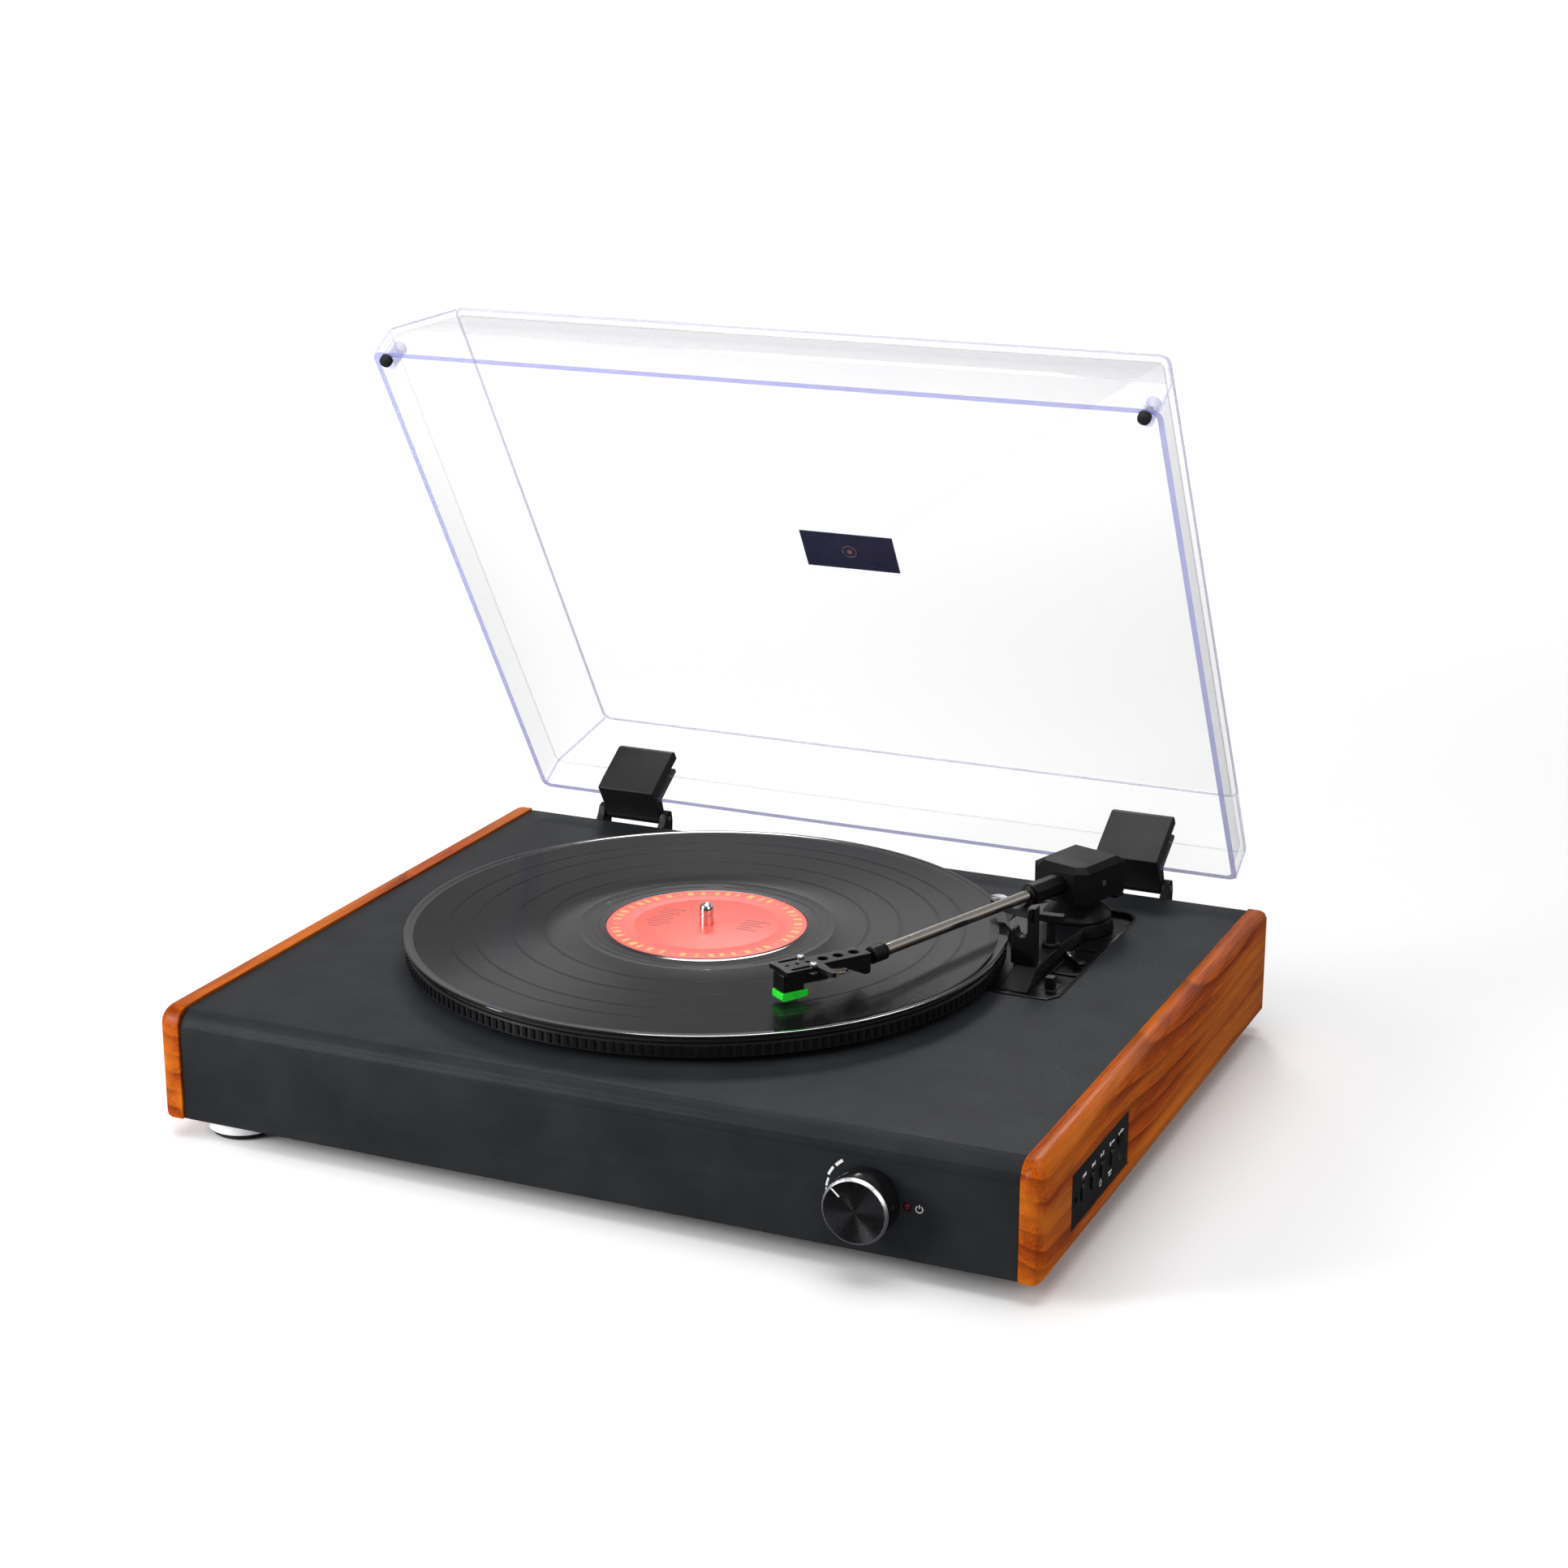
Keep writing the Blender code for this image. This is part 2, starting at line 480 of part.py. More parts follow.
# ---------------------------------------------------------------------- tonearm
def tonearm():
    piv = P(PIVX, PIVY, H + ARM_Z)
    lv = local((PIVX, PIVY, H + ARM_Z), ARM_YAW)
    tl = local((PIVX, PIVY, H + ARM_Z), ARM_YAW, ARM_RISE)

    # vertical shaft with the cross pin that the arm tips on
    yoke = extrude("arm_yoke", "steel", circle(PIVX, PIVY, 4.0, 24), up, H + 16.5, H + ARM_Z + 3.0, at=piv)
    pin = extrude("add_yoke_pin", None, circle(0, 0, 1.5, 16), lambda a, h, s: lv(a, s, h), -16.4, 16.4, cutter=True)
    modify(yoke, pin, 'UNION')

    # housing: a box with its front corners and its top edges cut off, open below
    # round the shaft
    l0, l1, w, wl, c, ch = -18.0, 18.4, 16.0, 18.0, 5.6, 2.9
    zb, zt = -9.0, 10.4

    def plan(d):                    # the arm's left side is the +s one
        e = d * 1.7
        return [(l0 + d, -w + d), (l1 - c - d * 0.4, -w + d), (l1 - d, -w + c + d * 0.4), (l1 - d, wl - c - e * 0.4),
                (l1 - c - e * 0.4, wl - e), (l0 + d, wl - e)]
    bm = bmesh.new()
    rings = [[bm.verts.new(lv(a, s, h) - piv) for a, s in plan(d)] for d, h in ((0, zb), (0, zt - ch), (ch, zt))]
    bm.faces.new(rings[0])
    bm.faces.new(list(reversed(rings[2])))
    for lo, hi in zip(rings, rings[1:]):
        for i in range(6):
            j = (i + 1) % 6
            bm.faces.new((lo[i], hi[i], hi[j], lo[j]))
    house = finish(bm, "arm_housing", "plastic_black", piv)
    hollow = extrude("cut_house", None, [(-10.0, -12.6), (10.5, -12.6), (10.5, 12.6), (-10.0, 12.6)],
                     lambda a, s, h: lv(a, s, h), -14.0, 7.4, cutter=True)
    modify(house, hollow)
    modify(house, extrude("cut_pin", None, circle(0, 0, 2.0, 16), lambda a, h, s: lv(a, s, h), -20, 20, cutter=True))

    # counterweight hung under the back of the housing
    extrude("arm_counterweight", "plastic_black",
            [(-18.0, -16.0), (-11.0, -16.0), (-11.0, 16.0), (-18.0, 16.0)],
            lambda a, s, h: lv(a, s, h), -11.4, -9.3, at=piv)

    nut = [(5.7 * math.cos(math.radians(45 * i + 22.5)), 5.7 * math.sin(math.radians(45 * i + 22.5))) for i in range(8)]
    extrude("arm_nut", "plastic_black", nut, lambda s, h, a: tl(a, s, h), 18.8, 41.0, at=piv)

    def rod(name, key, a0, a1, r, n=24):
        return extrude(name, key, [(r * math.cos(2 * math.pi * i / n), r * math.sin(2 * math.pi * i / n)) for i in range(n)],
                       lambda s, h, a: tl(a, s, h), a0, a1, at=piv, smooth=40)
    rod("arm_tube", "tube_metal", TUBE_A0, TUBE_A1, TUBE_R)
    rod("headshell_collar", "plastic_black", TUBE_A1 + 0.3, 165.2, 4.2)

    # headshell: a plate that widens towards the front, with a block at the back
    # that takes the collar
    hs = local((295.8, 135.0, H + HS_TOP), HS_YAW)
    ring = [(0.0, -5.6), (0.0, 5.6), (29.0, 5.6), (30.5, 8.3), (47.9, 8.3), (47.2, 0.0), (47.9, -8.3), (31.2, -8.3),
            (29.4, -19.5), (27.2, -19.5), (26.6, -5.6)]
    shell = extrude("headshell", "plastic_black", ring, lambda a, s, h: hs(a, s, h), -HS_T, 0.0, at=piv)
    blk = extrude("add_headshell_block", None, [(0.1, -1.0), (0.1, -9.6), (3.2, -10.2), (14.0, -4.8), (14.0, -1.0)],
                  lambda a, h, s: hs(a, s, h), -5.5, 5.5, cutter=True)
    modify(shell, blk, 'UNION')

    cb = -HS_T - 0.3
    extrude("cartridge_body", "plastic_black",
            [(21.6, cb), (47.6, cb), (47.6, cb - 8.8), (36.4, cb - 8.8), (36.4, cb - 6.2), (21.6, cb - 6.2)],
            lambda a, h, s: hs(a, s, h), -4.7, 4.7, at=piv)
    sty = [(34.2, cb - 9.1), (48.0, cb - 9.1), (48.0, cb - 12.6), (46.0, cb - 13.1), (34.2, cb - 12.5)]
    extrude("stylus_assembly", "stylus_green", sty, lambda a, h, s: hs(a, s, h), -4.7, 4.7, at=piv)


# --------------------------------------------------------------------- controls
def controls():
    kn = P(KNOB_X, 0, KNOB_Z)
    turned("volume_knob", "plastic_black",
           [(0, KNOB_FRONT + 0.4), (KNOB_R - 2.0, KNOB_FRONT + 0.0), (KNOB_R - 0.6, KNOB_FRONT + 0.9),
            (KNOB_R, -1.0), (KNOB_R - 0.5, -0.5), (5.0, -0.5), (2.9, -0.5), (2.9, 24.0), (0, 24.0)],
           lambda a, b, h: P(KNOB_X + a, h, KNOB_Z + b), kn, n=40)
    turned("volume_pot", "steel",
           [(3.3, WALL + 0.4), (8.5, WALL + 0.4), (8.5, 25.5), (0, 25.5), (0, 24.4), (3.3, 24.4)],
           lambda a, b, h: P(KNOB_X + a, h, KNOB_Z + b), kn, n=24)
    turned("power_led", "led", [(0, -0.4), (1.1, -0.3), (1.5, 0.2), (1.5, 8.0), (0, 8.0)],
           lambda a, b, h: P(LED_X + a, h, LED_Z + b), P(LED_X, 0, LED_Z), n=16)

    # plate set into the right panel, with buttons and sockets
    xo = BODY_W + PANEL_T - 0.4
    xi = xo - 2.4
    ring = rrect(PLATE_Y0 + 0.35, PLATE_Z0 + 0.35, PLATE_Y1 - 0.35, PLATE_Z1 - 0.35, 1.5)
    plate = extrude("control_plate", "plastic_black", ring, side, xi, xo)
    for i, y in enumerate(BUTTON_Y):
        modify(plate, extrude("cut_button_%d" % i, None, [(y + b, BUTTON_Z + a) for a, b in stadium(4.4, 2.9)],
                              side, xi - 3, xo + 3, cutter=True))
        extrude("side_button_%d" % (i + 1), "plastic_black",
                [(y + b, BUTTON_Z + a) for a, b in stadium(4.05, 2.55)], side, xi - 4.0, xo + 0.9,
                at=P(xo, y, BUTTON_Z), smooth=40)
    modify(plate, box("cut_usb", None, xi - 3, xo + 3, USB_Y - 2.9, USB_Y + 2.9, BUTTON_Z - 6.9, BUTTON_Z + 6.9, cutter=True))
    modify(plate, extrude("cut_jack", None, circle(JACK_Y, BUTTON_Z, 3.3, 20), side, xi - 3, xo + 3, cutter=True))

    # usb socket: a thin shell open at the front
    usb = box("usb_socket", "steel", xi - 9.0, xo - 0.2, USB_Y - 2.6, USB_Y + 2.6, BUTTON_Z - 6.6, BUTTON_Z + 6.6)
    modify(usb, box("cut_usb_in", None, xi - 8.0, xo + 4, USB_Y - 2.1, USB_Y + 2.1, BUTTON_Z - 6.1, BUTTON_Z + 6.1, cutter=True))
    turned("phones_jack", "plastic_black",
           [(0, xi - 8.0), (3.0, xi - 8.0), (3.0, xo + 0.2), (1.8, xo + 0.2), (1.8, xi - 6.0), (0, xi - 6.0)],
           lambda a, b, h: P(h, JACK_Y + a, BUTTON_Z + b), P(xo, JACK_Y, BUTTON_Z), n=20)

    # rear jack panel
    jp = box("jack_panel", "plastic_black", 168.4, 251.6, BODY_D - 3.0, BODY_D - 0.6, 14.4, 41.6)
    for i, x in enumerate((184.0, 200.0)):
        modify(jp, extrude("cut_rca_%d" % i, None, circle(x, 28.0, 5.4, 24), front, BODY_D - 6, BODY_D + 3, cutter=True))
        turned("line_out_%s" % ("left", "right")[i], "steel",
               [(5.0, BODY_D - 9.0), (5.0, BODY_D + 7.0), (3.2, BODY_D + 7.0), (3.2, BODY_D - 6.0), (0, BODY_D - 6.0), (0, BODY_D - 9.0)],
               lambda a, b, h, x=x: P(x + a, h, 28.0 + b), P(x, BODY_D, 28.0), n=24)
    modify(jp, extrude("cut_dc", None, circle(232.0, 28.0, 5.0, 24), front, BODY_D - 6, BODY_D + 3, cutter=True))
    turned("dc_inlet", "plastic_black",
           [(4.6, BODY_D - 11.0), (4.6, BODY_D - 0.2), (2.8, BODY_D - 0.2), (2.8, BODY_D - 9.5), (0, BODY_D - 9.5), (0, BODY_D - 11.0)],
           lambda a, b, h: P(232.0 + a, h, 28.0 + b), P(232.0, BODY_D, 28.0), n=24)


def stadium(ha, hb, n=6):
    """An upright oval ring: half length ha, half width hb, round ends."""
    d = ha - hb
    return ([(d + hb * math.cos(t), hb * math.sin(t)) for t in [math.radians(-90 + 180 * i / n) for i in range(n + 1)]]
            + [(-d - hb * math.cos(t), -hb * math.sin(t)) for t in [math.radians(-90 + 180 * i / n) for i in range(n + 1)]])


# ------------------------------------------------------------------- dust cover
CS, SN = math.cos(LID_OPEN), math.sin(LID_OPEN)


def lid_pt(x, u, n):
    """x across, u forwards from the back wall's outer face, n away from the rim."""
    return P(x, LID_YB - u * CS + n * SN, H + LID_ZB + u * SN + n * CS)


def cover():
    hinge = P(BODY_W / 2, HY, H + HZ)
    r = LID_CORNER

    def ring(x0, x1, u0, u1, rad):
        return rrect(x0, u0, x1, u1, rad, n=3)
    t = LID_T
    outer = [(ring(LID_W0, LID_W1, 0, LID_L, r), 0.0),
             (ring(LID_W0, LID_W1, 0, LID_L, r), LID_D1),
             (ring(LID_W0 + LID_SS, LID_W1 - LID_SS, 0, LID_L - LID_SF, r), LID_D2)]
    k = 0.45 * t
    inner = [(ring(LID_W0 + t, LID_W1 - t, t, LID_L - t, r - t + 1.2), 0.0),
             (ring(LID_W0 + t, LID_W1 - t, t, LID_L - t, r - t + 1.2), LID_D1 - 0.4),
             (ring(LID_W0 + LID_SS + t - 0.4, LID_W1 - LID_SS - t + 0.4, t, LID_L - LID_SF - t + 0.4, r - t + 1.2), LID_D2 - t)]
    bm = bmesh.new()

    def verts(lst):
        return [[bm.verts.new(lid_pt(x, u, n) - hinge) for x, u in rg] for rg, n in lst]
    vo, vi = verts(outer), verts(inner)
    m = len(vo[0])
    for stack in (vo, vi):
        for lo, hi in zip(stack, stack[1:]):
            for i in range(m):
                j = (i + 1) % m
                bm.faces.new((lo[i], hi[i], hi[j], lo[j]))
    bm.faces.new(vo[2])
    bm.faces.new(vi[2])
    for i in range(m):
        j = (i + 1) % m
        bm.faces.new((vo[0][i], vo[0][j], vi[0][j], vi[0][i]))
    finish(bm, "dust_cover", "acrylic", hinge, smooth=20)

    # hinges: a clip that holds the back wall in a slot, on a barrel behind it
    pu, pn = hinge_in_lid()
    for i, hx in enumerate(HINGE_X):
        tag = ("left", "right")[i]
        x0, x1 = hx - HINGE_W / 2, hx + HINGE_W / 2
        barrel = [(pu + 3.9 * math.cos(math.radians(a)), pn + 3.9 * math.sin(math.radians(a)))
                  for a in range(75, 316, 30)]
        prof = ([(-0.35, 26.0), (-2.8, 26.0), (-2.8, 4.0)] + barrel
                + [(-2.0, -3.6), (9.8, -3.6), (10.4, 3.0), (10.4, 28.0), (8.6, 30.6), (3.35, 30.6),
                   (3.35, -0.35), (-0.35, -0.35)])
        clip = extrude("hinge_clip_" + tag, "plastic_black", prof, lambda u, n, x: lid_pt(x, u, n), x0, x1, at=hinge)
        modify(clip, extrude("cut_barrel_" + tag, None, circle(pu, pn, 2.0, 16), lambda u, n, x: lid_pt(x, u, n),
                             x0 - 5, x1 + 5, cutter=True))
        # base on the plinth's back, with an ear on each side of the barrel
        ears = [(BODY_D + 0.3, H - 36.0), (BODY_D + 3.2, H - 36.0), (BODY_D + 12.6, H - 8.0), (HY + 4.2, H + HZ - 2.0),
                (HY + 3.0, H + HZ + 3.4), (HY, H + HZ + 4.6), (HY - 3.4, H + HZ + 3.4), (BODY_D + 3.6, H + HZ - 1.0),
                (BODY_D + 0.3, H - 2.0)]
        base = extrude("hinge_base_" + tag, "plastic_black", ears, side, x0 - 4.4, x1 + 4.4)
        modify(base, box("cut_between_" + tag, None, x0 - 0.4, x1 + 0.4, BODY_D + 3.0, BODY_D + 40, H + HZ - 12.6, H + 40,
                         cutter=True))
        modify(base, box("cut_low_" + tag, None, x0 - 0.4, x1 + 0.4, BODY_D - 1, BODY_D + 4, H - 3.0, H + 40, cutter=True))
        modify(base, extrude("cut_ear_" + tag, None, circle(HY, H + HZ, 1.9, 16), side, x0 - 8, x1 + 8, cutter=True))
        extrude("hinge_pin_" + tag, "steel", circle(HY, H + HZ, 1.5, 16), side, x0 - 4.7, x1 + 4.7, smooth=40)
        # rubber bumper under each front corner of the rim
        bx = LID_W0 + 5.0 if i == 0 else LID_W1 - 11.5
        extrude("lid_bumper_" + tag, "rubber", [(bx, LID_L - 7.0), (bx + 6.5, LID_L - 7.0), (bx + 6.5, LID_L - 0.6), (bx, LID_L - 0.6)],
                lambda x, u, n: lid_pt(x, u, n), -4.2, -0.3, at=hinge)

    extrude("lid_badge", "badge", [(0, 0), (1, 0), (1, 1), (0, 1)], badge_pt, 0.3, 0.7, at=hinge)


BADGE_X, BADGE_U, BADGE_W, BADGE_L = 184.5, 146.5, 52.0, 24.5


def badge_pt(a, b, d):
    """Unit square to the badge on the underside of the top panel."""
    return lid_pt(BADGE_X + a * BADGE_W, BADGE_U + b * BADGE_L, LID_D2 - LID_T - d)


def hinge_in_lid():
    dy, dz = HY - LID_YB, HZ - LID_ZB
    return -dy * CS + dz * SN, dy * SN + dz * CS


for ob in list(bpy.data.objects):
    bpy.data.objects.remove(ob, do_unlink=True)
plinth()
drive()
arm_base()
tonearm()
controls()
cover()
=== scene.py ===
# Looks for the belt-drive record player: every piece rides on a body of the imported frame.
import math
import json
import random
import bpy
import bmesh
from mathutils import Vector, Matrix

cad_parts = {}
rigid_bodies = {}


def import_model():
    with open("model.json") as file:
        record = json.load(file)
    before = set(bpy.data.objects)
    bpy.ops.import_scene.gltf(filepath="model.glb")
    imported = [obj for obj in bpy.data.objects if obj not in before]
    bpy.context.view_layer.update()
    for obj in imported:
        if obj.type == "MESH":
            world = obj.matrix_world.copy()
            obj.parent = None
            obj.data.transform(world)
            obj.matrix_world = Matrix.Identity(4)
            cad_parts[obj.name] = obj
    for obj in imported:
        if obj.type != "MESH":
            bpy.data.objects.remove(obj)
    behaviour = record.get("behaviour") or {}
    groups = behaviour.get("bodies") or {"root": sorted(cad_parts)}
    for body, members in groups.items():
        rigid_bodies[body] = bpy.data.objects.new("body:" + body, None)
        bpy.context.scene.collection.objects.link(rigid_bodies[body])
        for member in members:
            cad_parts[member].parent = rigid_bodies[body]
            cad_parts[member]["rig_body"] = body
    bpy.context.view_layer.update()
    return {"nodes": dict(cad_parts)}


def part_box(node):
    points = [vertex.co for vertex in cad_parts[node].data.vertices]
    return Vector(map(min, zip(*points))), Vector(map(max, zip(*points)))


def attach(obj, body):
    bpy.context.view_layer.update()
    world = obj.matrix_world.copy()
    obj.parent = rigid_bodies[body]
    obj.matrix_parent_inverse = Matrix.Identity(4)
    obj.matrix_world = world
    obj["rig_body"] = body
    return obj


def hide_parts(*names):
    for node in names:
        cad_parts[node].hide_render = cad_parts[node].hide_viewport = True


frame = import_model()
nodes = frame["nodes"]

# --------------------------------------------------------------- working frame
# millimetres: x from the plinth's left end, y back from its front face, z up
# from its underside; H is the plinth's top
W, D, H = 423.0, 348.0, 54.2
_lo, _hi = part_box("chassis_shell")
X0 = (_lo.x + _hi.x) / 2 * 1000 - W / 2
Y0 = _lo.y * 1000
Z0 = _lo.z * 1000


def P(x, y, z):
    return Vector(((x + X0) / 1000, (y + Y0) / 1000, (z + Z0) / 1000))


SPX, SPY = 191.7, 179.7
PIVX, PIVY, ARM_Z = 348.0, 293.0, 25.6
ARM_YAW, ARM_RISE = math.radians(17.5), math.radians(0.86)
HS_YAW, HS_TOP = math.radians(34.9), 31.0
REC_TOP = 14.0


def local(origin, yaw, rise=0.0):
    """a forwards, s to the right of it, h up"""
    ox, oy, oz = origin
    fa = Vector((-math.sin(yaw) * math.cos(rise), -math.cos(yaw) * math.cos(rise), math.sin(rise)))
    fs = Vector((-math.cos(yaw), math.sin(yaw), 0))
    fh = fs.cross(fa)
    if fh.z < 0:
        fh = -fh

    def at(a, s, h):
        return P(*(Vector((ox, oy, oz)) + fa * a + fs * s + fh * h))
    return at


def up(a, b, d):
    return P(a, b, d)


def side(a, b, d):
    return P(d, a, b)


def front(a, b, d):
    return P(a, d, b)


def vertical(cx, cy, base=0.0):
    return lambda a, b, h: P(cx + a, cy + b, base + h)


def arc(cx, cy, r, a0, a1, n):
    return [(cx + r * math.cos(math.radians(a0 + (a1 - a0) * i / n)),
             cy + r * math.sin(math.radians(a0 + (a1 - a0) * i / n))) for i in range(n + 1)]


def circle(cx, cy, r, n=32, a0=0.0):
    return [(cx + r * math.cos(a0 + 2 * math.pi * i / n), cy + r * math.sin(a0 + 2 * math.pi * i / n)) for i in range(n)]


def rrect(x0, y0, x1, y1, r, n=5):
    return (arc(x1 - r, y1 - r, r, 0, 90, n) + arc(x0 + r, y1 - r, r, 90, 180, n)
            + arc(x0 + r, y0 + r, r, 180, 270, n) + arc(x1 - r, y0 + r, r, 270, 360, n))


# ------------------------------------------------------------------- materials
class Mat:
    """A small helper around one node material."""

    def __init__(self, name, color, rough=0.5, metal=0.0, **sockets):
        self.m = bpy.data.materials.new(name)
        self.m.use_nodes = True
        self.nt = self.m.node_tree
        self.b = self.nt.nodes["Principled BSDF"]
        self.b.inputs["Base Color"].default_value = (*color, 1)
        self.b.inputs["Roughness"].default_value = rough
        self.b.inputs["Metallic"].default_value = metal
        for k, v in sockets.items():
            self.b.inputs[k.replace("_", " ")].default_value = v
        self.tc = self.nt.nodes.new("ShaderNodeTexCoord")
        self.height = None

    def node(self, kind, **props):
        n = self.nt.nodes.new(kind)
        for k, v in props.items():
            if k in n.inputs.keys():
                n.inputs[k].default_value = v
            else:
                setattr(n, k, v)
        return n

    def link(self, a, b):
        self.nt.links.new(a, b)

    def coords(self, scale=(1, 1, 1), loc=(0, 0, 0), rot=(0, 0, 0)):
        mp = self.node("ShaderNodeMapping")
        mp.inputs["Scale"].default_value = scale
        mp.inputs["Location"].default_value = loc
        mp.inputs["Rotation"].default_value = rot
        self.link(self.tc.outputs["Object"], mp.inputs["Vector"])
        return mp.outputs["Vector"]

    def noise(self, scale, detail=3.0, rough=0.55, vec=None, distortion=0.0):
        n = self.node("ShaderNodeTexNoise")
        n.inputs["Scale"].default_value = scale
        n.inputs["Detail"].default_value = detail
        n.inputs["Roughness"].default_value = rough
        n.inputs["Distortion"].default_value = distortion
        self.link(vec if vec is not None else self.tc.outputs["Object"], n.inputs["Vector"])
        return n.outputs["Fac"]

    def ramp(self, fac, stops):
        r = self.node("ShaderNodeValToRGB")
        while len(r.color_ramp.elements) < len(stops):
            r.color_ramp.elements.new(0.5)
        for e, (p, c) in zip(r.color_ramp.elements, stops):
            e.position = p
            e.color = (*c, 1) if not isinstance(c, (int, float)) else (c, c, c, 1)
        self.link(fac, r.inputs["Fac"])
        return r.outputs["Color"]

    def maprange(self, fac, a, b, c, d):
        r = self.node("ShaderNodeMapRange")
        for i, v in zip(("From Min", "From Max", "To Min", "To Max"), (a, b, c, d)):
            r.inputs[i].default_value = v
        self.link(fac, r.inputs["Value"])
        return r.outputs["Result"]

    def math(self, op, a, b=None, c=None):
        n = self.node("ShaderNodeMath")
        n.operation = op
        for i, v in enumerate((a, b, c)):
            if v is None:
                continue
            if isinstance(v, (int, float)):
                n.inputs[i].default_value = v
            else:
                self.link(v, n.inputs[i])
        return n.outputs[0]

    def mix(self, fac, a, b, kind='MIX'):
        n = self.node("ShaderNodeMix")
        n.data_type = 'RGBA'
        n.blend_type = kind
        for i, v in ((0, fac), (6, a), (7, b)):
            if isinstance(v, (int, float)):
                n.inputs[i].default_value = v
            elif isinstance(v, tuple):
                n.inputs[i].default_value = (*v, 1)
            else:
                self.link(v, n.inputs[i])
        return n.outputs[2]

    def color(self, out):
        self.link(out, self.b.inputs["Base Color"])
        return self

    def roughness(self, out):
        self.link(out, self.b.inputs["Roughness"])
        return self

    def bump(self, height, dist, strength=1.0):
        n = self.node("ShaderNodeBump")
        n.inputs["Strength"].default_value = strength
        n.inputs["Distance"].default_value = dist
        self.link(height, n.inputs["Height"])
        if self.height is not None:
            self.link(self.height, n.inputs["Normal"])
        self.height = n.outputs["Normal"]
        self.link(self.height, self.b.inputs["Normal"])
        return self


def plastic(name, base, rough, grain=0.0, grain_scale=2500, coat=0.0, spec=0.5, smudge=0.06):
    m = Mat(name, base, rough, 0.0, Specular_IOR_Level=spec, Coat_Weight=coat)
    n = m.noise(60, 4)
    m.roughness(m.maprange(n, 0.3, 0.7, rough - smudge, rough + smudge))
    lo = tuple(c * 0.85 for c in base)
    hi = tuple(min(1, c * 1.18) for c in base)
    m.color(m.ramp(m.noise(35, 2), [(0.3, lo), (0.7, hi)]))
    if grain:
        m.bump(m.noise(grain_scale, 2), grain)
    return m


def metal(name, base, rough, brush=None, coat=0.0):
    m = Mat(name, base, rough, 1.0, Coat_Weight=coat)
    vec = m.coords(brush or (900, 900, 900))
    n = m.noise(1.0, 2, vec=vec)
    m.roughness(m.maprange(n, 0.3, 0.7, rough * 0.75, rough * 1.3))
    m.color(m.ramp(m.noise(40, 3), [(0.3, tuple(c * 0.92 for c in base)), (0.7, base)]))
    return m


def wood_material(name, front_end=False):
    """Lacquered orange-brown wood; the grain runs from front to back."""
    m = Mat(name, (0.35, 0.06, 0.004), 0.3, 0.0, Coat_Weight=0.03, Coat_Roughness=0.25, Specular_IOR_Level=0.08)
    wav = m.coords((1, 1, 1))
    warp = m.noise(9, 2, vec=m.coords((1.0, 0.35, 1.0)))
    sep = m.node("ShaderNodeSeparateXYZ")
    m.link(wav, sep.inputs[0])
    # growth rings: nearly level sheets through the board, bent by slow noise
    t = m.math('ADD', m.math('MULTIPLY', sep.outputs[2], 105.0), m.math('MULTIPLY', sep.outputs[0], 24.0))
    t = m.math('ADD', t, m.math('MULTIPLY', warp, 5.5))
    t = m.math('ADD', t, m.math('MULTIPLY', sep.outputs[1], 4.0))
    ring = m.math('FRACT', t)
    # slow rise then a quick dark line
    line = m.maprange(ring, 0.0, 1.0, 0.0, 1.0)
    col = m.ramp(line, [(0.0, (0.43, 0.080, 0.001)), (0.55, (0.36, 0.058, 0.001)), (0.86, (0.22, 0.032, 0.001)), (0.94, (0.19, 0.025, 0.001)), (1.0, (0.39, 0.066, 0.001))])
    fine = m.noise(1.0, 4, 0.65, vec=m.coords((1100, 40, 1100)))
    col = m.mix(m.maprange(fine, 0.46, 0.62, 0.0, 0.85), col, (0.17, 0.026, 0.0018))
    streak = m.noise(1.0, 3, 0.6, vec=m.coords((260, 9, 260)))
    col = m.mix(m.maprange(streak, 0.5, 0.72, 0.0, 0.6), col, (0.19, 0.028, 0.0015))
    light = m.noise(1.0, 2, 0.5, vec=m.coords((60, 5, 60), loc=(3, 1, 5)))
    col = m.mix(m.maprange(light, 0.42, 0.7, 0.0, 0.6), col, (0.62, 0.17, 0.008))
    m.color(col)
    m.roughness(m.maprange(fine, 0.3, 0.7, 0.30, 0.42))
    m.bump(fine, 0.00006, 0.6)
    return m


def radial(m, cx=SPX, cy=SPY):
    """Distance from a vertical axis, in millimetres, as a node output."""
    c = P(cx, cy, 0)
    vec = m.coords((1, 1, 1), loc=(-c.x, -c.y, 0))
    s = m.node("ShaderNodeSeparateXYZ")
    m.link(vec, s.inputs[0])
    r2 = m.math('ADD', m.math('MULTIPLY', s.outputs[0], s.outputs[0]), m.math('MULTIPLY', s.outputs[1], s.outputs[1]))
    r = m.math('MULTIPLY', m.math('SQRT', r2), 1000.0)
    ang = m.math('ARCTAN2', s.outputs[1], s.outputs[0])
    return r, ang, s


M = {}
M["vinyl"] = plastic("black_vinyl_wrap", (0.0165, 0.0178, 0.0195), 0.50, grain=0.00022, grain_scale=1500, spec=0.1, smudge=0.015)
M["vinyl"].bump(M["vinyl"].noise(420, 3), 0.00025, 0.5)
M["plastic"] = plastic("satin_black_plastic", (0.005, 0.0053, 0.006), 0.34, grain=0.00006, grain_scale=2600, spec=0.22)
M["plastic_matt"] = plastic("matt_black_plastic", (0.0075, 0.0078, 0.0085), 0.46, grain=0.0001, grain_scale=1800, spec=0.4)
M["deck"] = plastic("deck_black_plastic", (0.0035, 0.0037, 0.0042), 0.30, grain=0.00006, grain_scale=2600, spec=0.12)
M["gloss"] = plastic("gloss_black_plastic", (0.0045, 0.0047, 0.0052), 0.15, spec=0.5, smudge=0.03)
